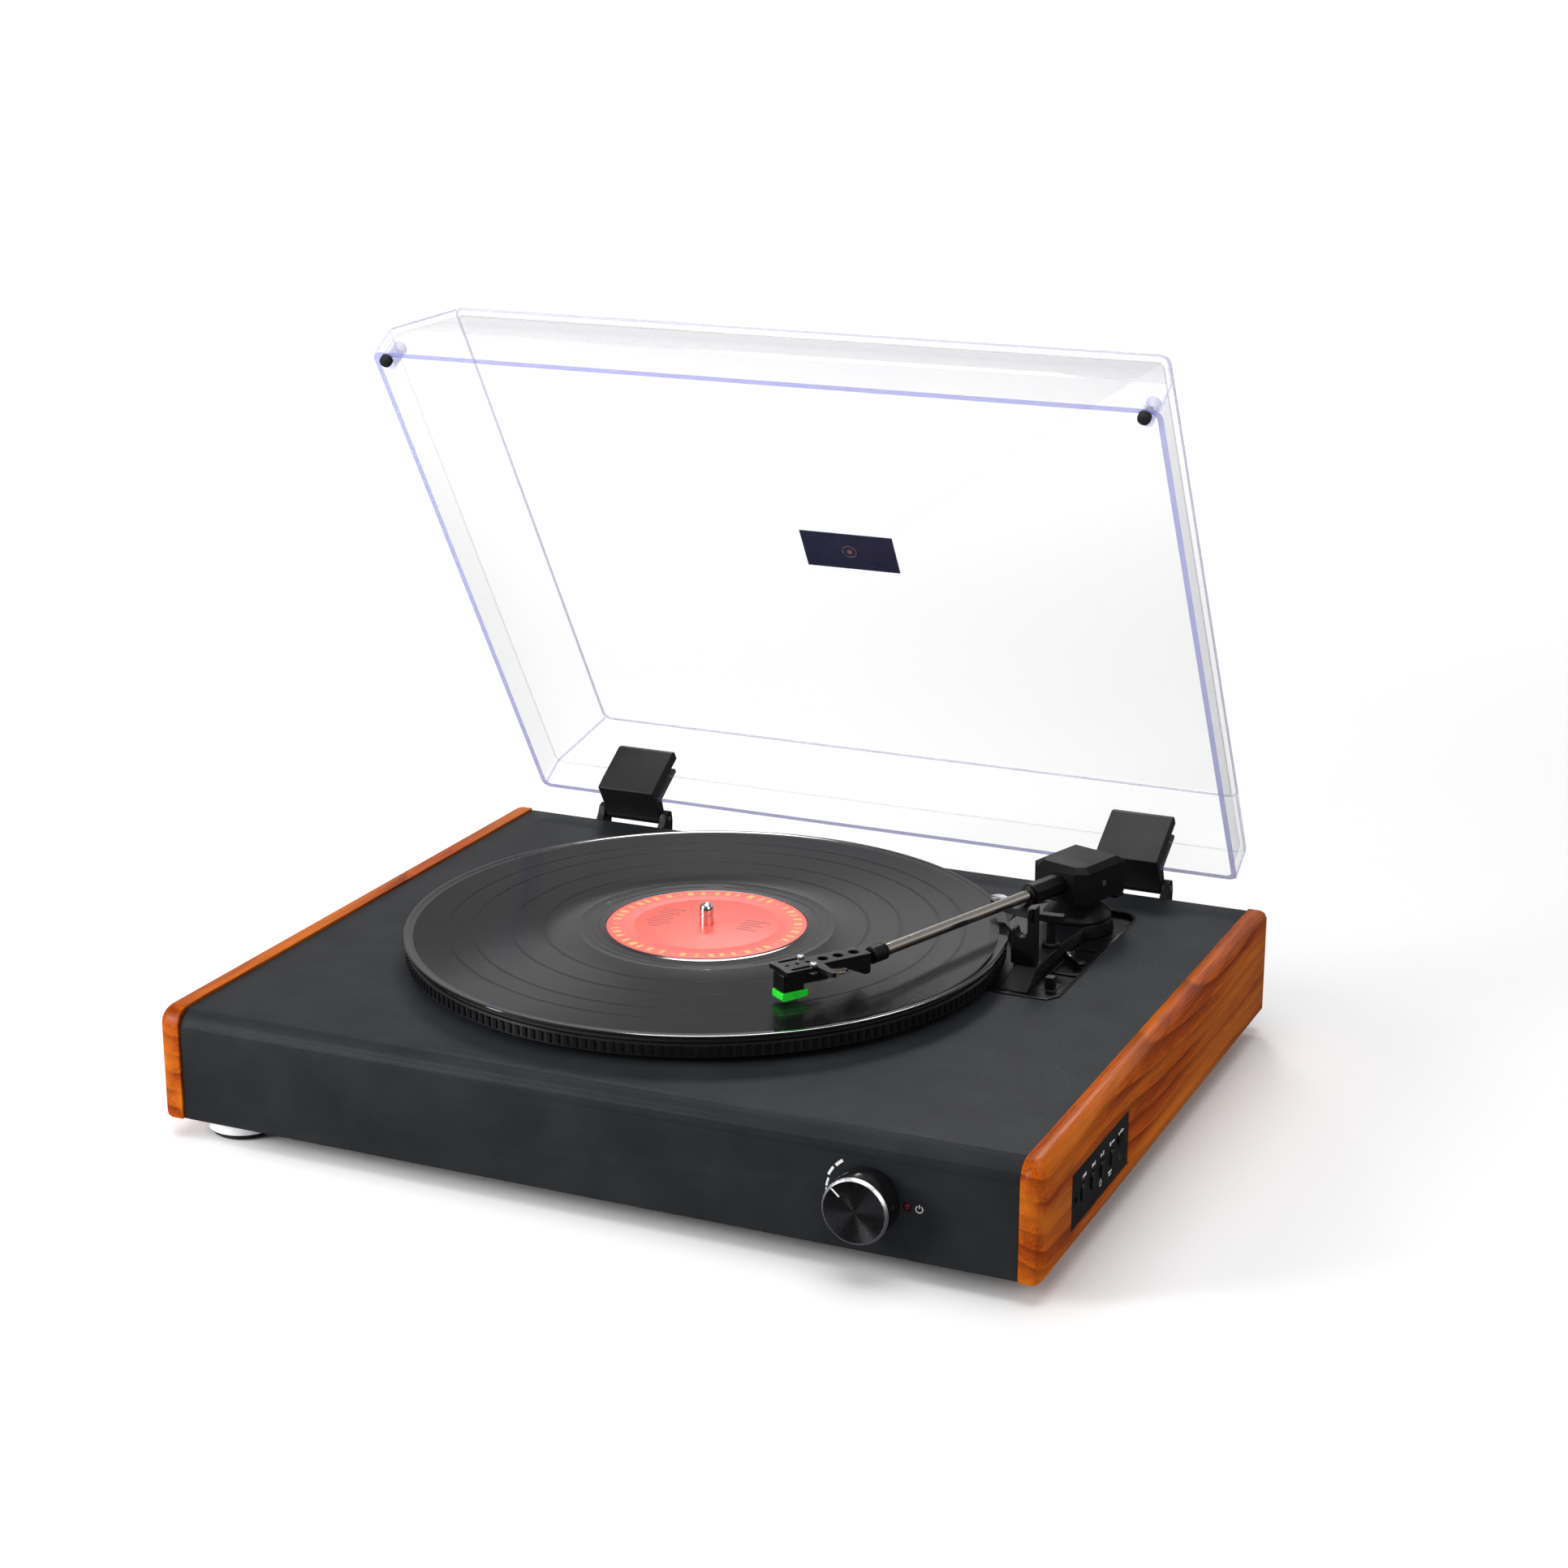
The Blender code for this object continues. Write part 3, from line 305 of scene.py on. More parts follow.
M["wood"] = wood_material("lacquered_wood")
M["board"] = plastic("hardboard", (0.10, 0.06, 0.03), 0.8, grain=0.0002, grain_scale=900)
# painted reflection: the feet's silver cups are real, but they are drawn as a bright diffuse white that stands for the
# white floor mirrored in the metal
M["foot"] = plastic("silver_with_painted_floor_reflection", (0.80, 0.80, 0.81), 0.32, spec=0.7)
M["housing"] = plastic("textured_black_plastic", (0.006, 0.0064, 0.0072), 0.42, grain=0.0001, grain_scale=1900, spec=0.1)
M["silver"] = metal("satin_silver", (0.86, 0.86, 0.87), 0.42, (60, 60, 3500))
M["rubber"] = plastic("black_rubber", (0.011, 0.011, 0.012), 0.7, grain=0.00012, grain_scale=1400, spec=0.3)
M["steel"] = metal("plain_steel", (0.5, 0.5, 0.51), 0.34)
M["chrome"] = metal("polished_chrome", (0.84, 0.84, 0.86), 0.08)
M["tube"] = metal("champagne_tube", (0.82, 0.76, 0.66), 0.12, (1500, 60, 1500))
M["pale_metal"] = metal("pale_grey_metal", (0.60, 0.59, 0.56), 0.42)
M["ring_metal"] = metal("bright_turned_edge", (0.9, 0.91, 0.93), 0.33)
M["gold"] = metal("gilt_contacts", (0.90, 0.80, 0.55), 0.3)
M["white"] = plastic("white_print", (0.78, 0.78, 0.78), 0.5)
M["led"] = plastic("red_lens", (0.085, 0.006, 0.009), 0.2, spec=0.4)
M["red_mark"] = plastic("red_mark", (0.55, 0.05, 0.02), 0.3)
M["badge"] = plastic("dark_blue_plate", (0.018, 0.020, 0.045), 0.32, spec=0.5)

# platter: dark turned metal
pm = Mat("dark_turned_platter", (0.03, 0.03, 0.033), 0.33, 0.6)
r, ang, s = radial(pm)
pm.bump(pm.math('SINE', pm.math('MULTIPLY', r, 14.0)), 0.00002, 0.4)
pm.roughness(pm.maprange(pm.noise(25, 3), 0.3, 0.7, 0.26, 0.4))
pm.color(pm.ramp(pm.noise(30, 2), [(0.3, (0.020, 0.020, 0.022)), (0.7, (0.034, 0.034, 0.037))]))
M["platter"] = pm
fm = Mat("black_felt", (0.012, 0.012, 0.013), 0.95, 0.0, Sheen_Weight=0.3)
fm.color(fm.ramp(fm.noise(1500, 3), [(0.3, (0.006, 0.006, 0.007)), (0.7, (0.019, 0.019, 0.021))]))
fm.bump(fm.noise(2600, 3), 0.0003, 0.8)
M["felt"] = fm

# record: glossy vinyl with fine grooves in bands
rm = Mat("grooved_vinyl_record", (0.004, 0.004, 0.0045), 0.2, 0.0, Specular_IOR_Level=0.5, Anisotropic=0.8)
tg = rm.node("ShaderNodeTangent")
tg.direction_type = 'RADIAL'
tg.axis = 'Z'
rm.link(tg.outputs[0], rm.b.inputs["Tangent"])
r, ang, s = radial(rm)
fine = rm.math('SINE', rm.math('MULTIPLY', r, 11.0))
coarse = rm.node("ShaderNodeTexNoise", noise_dimensions='1D')
coarse.inputs["Scale"].default_value = 1.4
coarse.inputs["Detail"].default_value = 6.0
coarse.inputs["Roughness"].default_value = 0.75
rm.link(r, coarse.inputs["W"])
band = coarse.outputs["Fac"]
inside = rm.math('MULTIPLY', rm.math('GREATER_THAN', r, 64.2), rm.math('LESS_THAN', r, 145.8))
rough = rm.maprange(band, 0.3, 0.7, 0.19, 0.24)
rough = rm.mix(inside, (0.06, 0.06, 0.06), rough)
rm.roughness(rough)
rm.link(rm.maprange(inside, 0.0, 1.0, 0.85, 0.13), rm.b.inputs["Specular IOR Level"])
rm.color(rm.mix(rm.math('MULTIPLY', inside, rm.maprange(band, 0.35, 0.65, 0.0, 1.0)), (0.0028, 0.0028, 0.0032), (0.0055, 0.0055, 0.0062)))
M["record"] = rm

lm = Mat("printed_label", (0.85, 0.09, 0.06), 0.42, 0.0, Specular_IOR_Level=0.4)
lm.color(lm.ramp(lm.noise(900, 4), [(0.3, (0.82, 0.085, 0.058)), (0.7, (0.90, 0.105, 0.072))]))
lm.bump(lm.noise(3000, 2), 0.00003, 0.5)
M["label"] = lm
M["label_ring"] = plastic("label_yellow_print", (0.80, 0.36, 0.07), 0.42)
M["label_dark"] = plastic("label_dark_print", (0.18, 0.02, 0.015), 0.42)

gm = Mat("green_stylus_plastic", (0.02, 0.60, 0.03), 0.25, 0.0, Specular_IOR_Level=0.5, Subsurface_Weight=0.0)
gm.color(gm.ramp(gm.noise(200, 2), [(0.3, (0.014, 0.60, 0.026)), (0.7, (0.03, 0.78, 0.045))]))
gm.roughness(gm.maprange(gm.noise(300, 2), 0.3, 0.7, 0.2, 0.32))
# painted glow: the emission makes the green stylus plastic give off a little green light of its own, though it is no
# lamp
gm.b.inputs["Emission Color"].default_value = (0.01, 0.75, 0.03, 1)
gm.b.inputs["Emission Strength"].default_value = 0.12
M["green"] = gm

# knob's spun front face
km = Mat("spun_knob_face", (0.012, 0.012, 0.013), 0.3, 0.85, Specular_IOR_Level=0.5)
kc = P(353.8, 0, 25.3)
vec = km.coords((1, 1, 1), loc=(-kc.x, 0, -kc.z))
sp = km.node("ShaderNodeSeparateXYZ")
km.link(vec, sp.inputs[0])
kr = km.math('SQRT', km.math('ADD', km.math('MULTIPLY', sp.outputs[0], sp.outputs[0]), km.math('MULTIPLY', sp.outputs[2], sp.outputs[2])))
km.bump(km.math('SINE', km.math('MULTIPLY', kr, 14000.0)), 0.00006, 0.7)
ka = km.math('ARCTAN2', sp.outputs[2], sp.outputs[0])
# painted highlight: two bright lobes round the spun face, set into the base colour by angle, stand for the light caught
# by the turned grooves
painted_highlight_lobes = km.math('SINE', km.math('ADD', km.math('MULTIPLY', ka, 2.0), 0.55))
km.color(km.ramp(km.math('MULTIPLY', km.math('ADD', painted_highlight_lobes, 1.0), 0.5), [(0.0, (0.010, 0.010, 0.011)), (0.7, (0.03, 0.03, 0.033)), (1.0, (0.075, 0.075, 0.082))]))
km.roughness(km.maprange(km.noise(500, 2), 0.3, 0.7, 0.24, 0.36))
M["knob_face"] = km


def acrylic(name, color, alpha_face, alpha_edge, rough=0.03):
    m = Mat(name, color, rough, 0.0, Specular_IOR_Level=0.55)
    lw = m.node("ShaderNodeLayerWeight")
    lw.inputs["Blend"].default_value = 0.35
    a = m.maprange(lw.outputs["Facing"], 0.15, 1.0, alpha_face, alpha_edge)
    m.link(a, m.b.inputs["Alpha"])
    m.color(m.ramp(m.noise(6, 2), [(0.3, color), (0.7, tuple(min(1, c * 1.03) for c in color))]))
    return m


M["acrylic"] = acrylic("clear_acrylic", (0.40, 0.405, 0.43), 0.045, 0.30)
# the edge materials are painted highlights: brighter, more opaque violet and pale colour standing for light caught in
# the clear sheet's edges and bends
M["acrylic_edge"] = acrylic("acrylic_violet_edge", (0.34, 0.35, 0.80), 0.42, 0.7)
M["acrylic_glow"] = acrylic("acrylic_pale_edge", (0.55, 0.55, 0.82), 0.34, 0.5)
M["acrylic_faint"] = acrylic("acrylic_inner_edge", (0.6, 0.6, 0.64), 0.16, 0.3)


# -------------------------------------------------------------------- builders
def obj_from(bm, name, mat, body, bevel=0.0, segs=2, smooth=35, weld=1e-7, cad=None):
    if weld:
        bmesh.ops.remove_doubles(bm, verts=bm.verts, dist=weld)
    bmesh.ops.recalc_face_normals(bm, faces=bm.faces)
    me = bpy.data.meshes.new(name)
    bm.to_mesh(me)
    bm.free()
    ob = bpy.data.objects.new(name, me)
    bpy.context.scene.collection.objects.link(ob)
    ob.data.materials.append(M[mat].m)
    if bevel:
        bv = ob.modifiers.new("bevel", 'BEVEL')
        bv.width = bevel / 1000
        bv.segments = segs
        bv.limit_method = 'ANGLE'
        bv.angle_limit = math.radians(28)
        bv.harden_normals = False
    me.shade_smooth()
    me.set_sharp_from_angle(angle=math.radians(smooth))
    if body:
        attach(ob, body)
    if cad:
        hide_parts(*([cad] if isinstance(cad, str) else cad))
    return ob


def extrude(name, mat, body, ring, fr, d0, d1, top=None, **kw):
    bm = bmesh.new()
    lo = [bm.verts.new(fr(a, b, d0)) for a, b in ring]
    hi = [bm.verts.new(fr(a, b, d1)) for a, b in (top or ring)]
    n = len(ring)
    bm.faces.new(lo)
    bm.faces.new(list(reversed(hi)))
    for i in range(n):
        j = (i + 1) % n
        bm.faces.new((lo[i], hi[i], hi[j], lo[j]))
    return obj_from(bm, name, mat, body, **kw)


def turned(name, mat, body, profile, fr, n=64, smooth=32, **kw):
    bm = bmesh.new()
    rings = []
    for r_, h in profile:
        if r_ == 0:
            rings.append([bm.verts.new(fr(0, 0, h))])
        else:
            rings.append([bm.verts.new(fr(r_ * math.cos(2 * math.pi * i / n), r_ * math.sin(2 * math.pi * i / n), h))
                          for i in range(n)])
    closed = profile[0][0] > 0 or profile[-1][0] > 0
    pairs = list(zip(rings, rings[1:])) + ([(rings[-1], rings[0])] if closed else [])
    for p, q in pairs:
        for i in range(n):
            j = (i + 1) % n
            if len(p) == 1 and len(q) == 1:
                continue
            if len(p) == 1:
                bm.faces.new((p[0], q[i], q[j]))
            elif len(q) == 1:
                bm.faces.new((p[i], q[0], p[j]))
            else:
                bm.faces.new((p[i], q[i], q[j], p[j]))
    return obj_from(bm, name, mat, body, smooth=smooth, **kw)


def sweep(name, mat, body, pts, r, n=10, smooth=40, **kw):
    """A round tube along world points, with closed ends."""
    bm = bmesh.new()
    rings = []
    prev = None
    for i, p in enumerate(pts):
        d = (pts[min(i + 1, len(pts) - 1)] - pts[max(i - 1, 0)]).normalized()
        ref = prev if prev is not None else (Vector((0, 0, 1)) if abs(d.z) < 0.9 else Vector((1, 0, 0)))
        u = (ref - d * ref.dot(d)).normalized()
        v = d.cross(u)
        prev = u
        rings.append([bm.verts.new(p + (u * math.cos(2 * math.pi * k / n) + v * math.sin(2 * math.pi * k / n)) * r / 1000)
                      for k in range(n)])
    bm.faces.new(rings[0])
    bm.faces.new(list(reversed(rings[-1])))
    for p, q in zip(rings, rings[1:]):
        for k in range(n):
            j = (k + 1) % n
            bm.faces.new((p[k], q[k], q[j], p[j]))
    return obj_from(bm, name, mat, body, smooth=smooth, **kw)


def cut(ob, ring, fr, d0, d1, how='DIFFERENCE'):
    """Cuts a prism out of a piece and keeps the result as its mesh."""
    bm = bmesh.new()
    lo = [bm.verts.new(fr(a, b, d0)) for a, b in ring]
    hi = [bm.verts.new(fr(a, b, d1)) for a, b in ring]
    n = len(ring)
    bm.faces.new(lo)
    bm.faces.new(list(reversed(hi)))
    for i in range(n):
        j = (i + 1) % n
        bm.faces.new((lo[i], hi[i], hi[j], lo[j]))
    bmesh.ops.recalc_face_normals(bm, faces=bm.faces)
    me = bpy.data.meshes.new("cutter")
    bm.to_mesh(me)
    bm.free()
    c = bpy.data.objects.new("cutter", me)
    bpy.context.scene.collection.objects.link(c)
    return bake_boolean(ob, c, how)


def bake_boolean(ob, c, how='DIFFERENCE'):
    md = ob.modifiers.new("b", 'BOOLEAN')
    md.operation = how
    md.solver = 'EXACT'
    md.object = c
    # keep the bevel last
    while ob.modifiers[0] != md and ob.modifiers.find("b") > 0:
        ob.modifiers.move(ob.modifiers.find("b"), ob.modifiers.find("b") - 1)
    others = [(m, m.show_viewport) for m in ob.modifiers if m != md]
    for m, _ in others:
        m.show_viewport = False
    dg = bpy.context.evaluated_depsgraph_get()
    dg.update()
    new = bpy.data.meshes.new_from_object(ob.evaluated_get(dg))
    ob.modifiers.remove(md)
    for m, v in others:
        m.show_viewport = v
    ob.data = new
    bpy.data.objects.remove(c, do_unlink=True)
    new.shade_smooth()
    new.set_sharp_from_angle(angle=math.radians(35))
    return ob


def give(node, mat, smooth=35):
    ob = nodes[node]
    ob.data.materials.clear()
    ob.data.materials.append(M[mat].m)
    for p in ob.data.polygons:
        p.material_index = 0


def copy_of(node, name, mat, bevel=0.0, segs=2, smooth=35, dissolve=1.0):
    """A piece with a CAD node's own shape, joined into whole faces, with its edges broken."""
    src = nodes[node]
    bm = bmesh.new()
    bm.from_mesh(src.data)
    bmesh.ops.remove_doubles(bm, verts=bm.verts, dist=2e-6)
    if dissolve:
        bmesh.ops.dissolve_limit(bm, angle_limit=math.radians(dissolve), verts=bm.verts, edges=bm.edges)
    return obj_from(bm, name, mat, src["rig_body"], bevel=bevel, segs=segs, smooth=smooth, weld=0, cad=node)


def decal(name, mat, body, rings, fr, d0, d1, **kw):
    """Several thin prisms in one piece."""
    bm = bmesh.new()
    for ring in rings:
        lo = [bm.verts.new(fr(a, b, d0)) for a, b in ring]
        hi = [bm.verts.new(fr(a, b, d1)) for a, b in ring]
        n = len(ring)
        bm.faces.new(lo)
        bm.faces.new(list(reversed(hi)))
        for i in range(n):
            j = (i + 1) % n
            bm.faces.new((lo[i], hi[i], hi[j], lo[j]))
    return obj_from(bm, name, mat, body, weld=0, **kw)


def bar(x0, y0, x1, y1, w):
    d = Vector((x1 - x0, y1 - y0)).normalized() * w / 2
    n = Vector((-d.y, d.x))
    return [(x0 + n.x, y0 + n.y), (x0 - n.x, y0 - n.y), (x1 - n.x, y1 - n.y), (x1 + n.x, y1 + n.y)]


def annulus(cx, cy, r0, r1, n=48, a0=0.0, a1=360.0):
    """Ring segments, as separate little quads that touch."""
    out = []
    for i in range(n):
        t0 = math.radians(a0 + (a1 - a0) * i / n)
        t1 = math.radians(a0 + (a1 - a0) * (i + 1) / n)
        out.append([(cx + r0 * math.cos(t0), cy + r0 * math.sin(t0)), (cx + r1 * math.cos(t0), cy + r1 * math.sin(t0)),
                    (cx + r1 * math.cos(t1), cy + r1 * math.sin(t1)), (cx + r0 * math.cos(t1), cy + r0 * math.sin(t1))])
    return out


def arc_band(cx, cy, r0, r1, a0, a1, n):
    return arc(cx, cy, r1, a0, a1, n) + list(reversed(arc(cx, cy, r0, a0, a1, n)))


# ---------------------------------------------------------------------- plinth
copy_of("chassis_shell", "plinth_vinyl_wrap", "vinyl", bevel=0.5, smooth=30, dissolve=0)
copy_of("side_panel_left", "left_wood_panel", "wood", smooth=38)
copy_of("side_panel_right", "right_wood_panel", "wood", smooth=38, dissolve=0)
give("base_panel", "board")
screws = []
for x in (30, 150, 273, 393):
    for y in (30, 318):
        screws.append((x, y))
for i, (x, y) in enumerate(screws):
    turned("base_screw_%d" % (i + 1), "steel", "chassis",
           [(0, -0.5), (2.6, -0.5), (3.4, 0.0), (3.6, 0.28), (0, 0.28)], vertical(x, y, 0.0), n=20)
for tag in ("front_left", "front_right", "back_left", "back_right"):
    lo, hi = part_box("foot_" + tag)
    c = (lo + hi) / 2
    fx, fy = c.x * 1000 - X0, c.y * 1000 - Y0
    turned("foot_cup_" + tag, "foot", "chassis",
           [(0, -0.3), (17.2, -0.3), (17.7, -0.8), (17.7, -5.6), (17.3, -6.7), (16.2, -7.2), (15.8, -7.2), (15.8, -6.8), (0, -6.8)],
           vertical(fx, fy), n=64, cad="foot_" + tag)
    turned("foot_pad_" + tag, "rubber", "chassis",
           [(0, -6.85), (15.4, -6.85), (15.4, -9.1), (15.0, -9.5), (12.5, -9.5), (12.0, -9.2), (0, -9.2)],
           vertical(fx, fy), n=48)

# --------------------------------------------------------------------- platter
give("main_bearing", "steel")
give("drive_motor", "steel")
give("drive_belt", "rubber")
give("motor_pulley", "plastic")
turned("spindle_polished", "chrome", "platter_body",
       [(0, -26.6), (3.3, -26.6), (3.55, -26.2), (3.55, 18.6), (3.35, 18.9), (3.35, 19.6), (3.55, 19.9), (3.55, 21.8),
        (3.3, 23.2), (2.7, 24.3), (1.7, 24.95), (0.8, 25.17), (0, 25.2)], vertical(SPX, SPY, H), n=40, cad="spindle")
copy_of("platter", "platter_turned", "platter", smooth=30, dissolve=0)
copy_of("platter_mat", "platter_felt_mat", "felt", smooth=30, dissolve=0)
bm = bmesh.new()
NR = 208
for i in range(NR):
    t = 2 * math.pi * i / NR
    ca, sa = math.cos(t), math.sin(t)
    pts = []
    for rr_, w_ in ((148.8, 1.35), (149.75, 0.95)):
        for h in (H + 3.6, H + 8.6):
            for k in (-1, 1):
                x = SPX + rr_ * ca - sa * w_ * k
                y = SPY + rr_ * sa + ca * w_ * k
                pts.append(bm.verts.new(P(x, y, h if rr_ < 149 else (h + (0.4 if h < H + 5 else -0.4)))))
    a, b, c, d, e, f, g, h_ = pts
    for q in ((a, b, d, c), (e, g, h_, f), (a, c, g, e), (b, f, h_, d), (a, e, f, b), (c, d, h_, g)):
        bm.faces.new(q)
obj_from(bm, "platter_rim_ribs", "plastic", "platter_body", weld=0)

# record: rim bead, lead-in, grooved band with the gaps between tracks, run-out
prof = [(3.6, 12.75), (3.6, 12.5), (149.9, 12.5), (150.5, 12.62), (150.8, 13.0), (150.8, 13.55), (150.5, 13.9), (150.0, 14.0),
        (149.2, 13.96), (148.2, 13.72), (146.6, 13.62), (145.8, 13.60)]
for g in (129.0, 116.5, 97.0, 81.0):
    prof += [(g + 0.75, 13.60), (g + 0.55, 13.50), (g + 0.1, 13.50), (g, 13.43), (g - 0.1, 13.50), (g - 0.55, 13.50), (g - 0.75, 13.60)]
prof += [(64.2, 13.60), (63.9, 13.54), (61.0, 13.54), (60.9, 13.44), (60.75, 13.44), (60.65, 13.54), (57.2, 13.54), (57.1, 13.42),
         (56.8, 13.42), (56.7, 13.54), (53.0, 13.56), (51.6, 13.75), (50.8, 13.92), (50.4, 13.85), (50.35, 13.5), (3.6, 13.5)]
turned("record_vinyl", "record", "platter_body", prof, vertical(SPX, SPY, H), n=220, smooth=25, cad="record_disc")
turned("record_paper_label", "label", "platter_body",
       [(3.65, 13.6), (50.0, 13.6), (50.0, 13.96), (49.7, 14.0), (36.9, 14.0), (36.6, 13.93), (36.0, 13.93), (35.7, 14.0), (3.65, 14.0)],
       vertical(SPX, SPY, H), n=120, cad="record_label")
random.seed(7)
marks = []
N = 46
for i in range(N):
    t = 2 * math.pi * (i + 0.12 * math.sin(i * 1.7)) / N
    w = (1.6, 2.3, 1.2, 2.0, 1.8)[i % 5]
    if i % 9 == 8:
        marks.append(circle(SPX + 45.6 * math.cos(t), SPY + 45.6 * math.sin(t), 0.8, 10))
        continue
    dt = math.degrees(w / 45.6)
    td = math.degrees(t)
    marks.append(arc_band(SPX, SPY, 43.5, 47.7, td - dt * 0.62, td + dt * 0.62, 3))
decal("label_ring_marks", "label_ring", "platter_body", marks, up, H + 13.98, H + 14.05)
marks = []
for col_x, rows in ((-24, 9), (16, 5)):
    for k in range(rows):
        ln = (13, 9, 12, 7, 11, 10, 13, 8, 6)[k]
        y = SPY + 12 - k * 3.2
        x = SPX + col_x - (ln / 2 if col_x < 0 else 0)
        marks.append([(x, y), (x + ln, y), (x + ln, y + 0.9), (x, y + 0.9)])
decal("label_fine_lines", "label_dark", "platter_body", marks, up, H + 13.98, H + 14.04)

# slotted screw in the plinth's top
copy_of("transit_screw", "transit_screw_head", "steel", smooth=30, dissolve=0)

# -------------------------------------------------------------- tonearm's base
copy_of("arm_deck", "arm_deck_plate", "deck", bevel=0.3)
# thin lip round the deck's recess
lip_o = [(374.6, 189.6), (374.6, 308.0)] + arc(363.6, 308.0, 11.0, 10, 90, 6) + [(342.0, 319.0), (342.0, 317.4), (363.6, 317.4)] + list(reversed(arc(363.6, 308.0, 9.4, 10, 90, 6))) + [(373.0, 308.0), (373.0, 190.6)]
extrude("deck_lip_side", "gloss", "chassis", lip_o, up, H - 2.2, H + 0.7, bevel=0.25)
extrude("deck_lip_front", "gloss", "chassis", [(326.6, 183.0), (369.9, 183.0), (374.6, 189.6), (373.0, 190.6), (369.0, 184.8), (326.4, 184.8)], up, H - 2.2, H + 0.7, bevel=0.25)
copy_of("arm_island", "arm_island_moulding", "plastic", bevel=0.5, segs=3)
turned("arm_pedestal_flare", "plastic", "chassis",
       [(0, 4.9), (17.2, 4.9), (17.5, 5.2), (17.5, 6.2), (17.1, 6.9), (15.6, 8.4), (13.2, 10.4), (10.8, 12.5), (9.6, 13.9), (9.0, 15.4), (8.6, 15.8), (0, 15.8)],
       vertical(PIVX, PIVY, H), n=72, cad="arm_pedestal")
copy_of("arm_rest_post", "arm_rest_cradle", "plastic", bevel=0.45)
copy_of("arm_rest_latch", "arm_rest_clip", "gloss", bevel=0.35)
copy_of("arm_lifter", "cueing_bar", "plastic", bevel=0.5)
copy_of("cue_lever", "cueing_lever", "gloss", bevel=0.35)
copy_of("speed_switch", "speed_slider", "plastic", bevel=0.4)
turned("lift_rod_boss", "plastic", "chassis",
       [(2.4, 4.6), (4.6, 4.6), (4.6, 6.4), (4.1, 7.0), (2.4, 7.0)], vertical(351.1, 243.3, H), n=32)
# thin frame round the sunken lever pocket
pk = [(358.2, 226.0), (371.2, 226.0), (371.2, 259.0), (358.2, 259.0)]
outer = rrect(358.0, 224.0, 371.6, 262.0, 3.0)
inner_ = rrect(359.0, 225.0, 370.6, 261.0, 2.2)
bm = bmesh.new()
vo = [bm.verts.new(up(a, b, H - 2.25)) for a, b in outer]
vo2 = [bm.verts.new(up(a, b, H - 1.5)) for a, b in outer]
vi2 = [bm.verts.new(up(a, b, H - 1.5)) for a, b in inner_]
vi = [bm.verts.new(up(a, b, H - 2.25)) for a, b in inner_]
n = len(outer)
for i in range(n):
    j = (i + 1) % n
    for p, q in ((vo, vo2), (vo2, vi2), (vi2, vi), (vi, vo)):
        bm.faces.new((p[i], p[j], q[j], q[i]))
obj_from(bm, "lever_pocket_rim", "plastic", "chassis")
# slot of the speed switch
decal("switch_slot", "rubber", "chassis", [rrect(361.0, 200.6, 368.2, 212.6, 1.0)], up, H - 2.3, H - 2.15)

# --------------------------------------------------------------------- tonearm
piv = (PIVX, PIVY, H + ARM_Z)
lv = local(piv, ARM_YAW)
tl = local(piv, ARM_YAW, ARM_RISE)
copy_of("arm_yoke", "arm_bearing_shaft", "steel", smooth=40)
copy_of("arm_housing", "arm_bearing_housing", "housing", bevel=0.45, segs=3)
copy_of("arm_counterweight", "arm_balance_weight", "plastic", bevel=0.4)
copy_of("arm_nut", "arm_octagonal_nut", "plastic", bevel=0.35)
for sgn, tag in ((1, "right"), (-1, "left")):
    turned("housing_pin_%s" % tag, "steel", "arm",
           [(0, (16.95 + sgn) * sgn), (1.1, (16.95 + sgn) * sgn), (1.1, (17.2 + sgn) * sgn), (0.7, (17.4 + sgn) * sgn), (0, (17.4 + sgn) * sgn)],
           lambda a, b, h: lv(a, h, b), n=28)
turned("arm_tube_satin", "tube", "arm", [(0, 41.1), (2.9, 41.1), (2.9, 155.4), (0, 155.4)], lambda a, b, h: tl(h, a, b), n=48, cad="arm_tube")
turned("tube_end_ring", "plastic", "arm", [(2.95, 41.05), (4.3, 41.05), (4.3, 42.8), (3.9, 43.3), (2.95, 43.3)], lambda a, b, h: tl(h, a, b), n=40)
turned("headshell_lock_ring", "plastic", "arm",
       [(0, 155.2), (3.6, 155.2), (4.2, 155.7), (4.2, 157.0), (3.9, 157.2), (3.9, 157.7), (4.2, 157.9), (4.2, 164.6), (3.8, 165.2), (0, 165.2)],
       lambda a, b, h: tl(h, a, b), n=40, cad="headshell_collar")

hs = local((295.8, 135.0, H + HS_TOP), HS_YAW)


def hsp(a, s, h):
    return hs(a, s, h)


HT = 2.2
ring = ([(0.0, -5.6), (0.0, 5.6), (28.6, 5.6)] + arc(28.6, 7.4, 1.8, -90, -20, 4)[1:]
        + [(30.6, 8.3), (47.3, 8.3), (47.9, 7.6), (47.5, 3.6), (47.3, 0.0), (47.5, -3.6), (47.9, -7.6), (47.3, -8.3), (31.3, -8.3),
           (30.9, -14.0), (30.2, -18.4), (29.3, -19.4), (28.0, -19.4), (27.3, -18.5), (27.0, -12.0), (26.7, -8.0), (26.2, -5.6)])
shell = extrude("headshell_plate", "plastic", "arm", ring, hsp, -HT, 0.0, cad="headshell")
for sy in (-5.9, 5.9):
    slot = arc(43.0, sy, 1.15, -90, 90, 8) + arc(31.8, sy, 1.15, 90, 270, 8)
    cut(shell, slot, hsp, -5, 3)
for a in (42.8, 37.3, 31.7):
    cut(shell, circle(a, 0.0, 1.15, 20), hsp, -5, 3)
for a in (23.4, 15.0, 6.4):
    cut(shell, circle(a, 0.0, 2.7, 28), hsp, -5, 3)
bv = shell.modifiers.new("bevel", 'BEVEL')
bv.width = 0.00028
bv.segments = 2
bv.limit_method = 'ANGLE'
bv.angle_limit = math.radians(35)

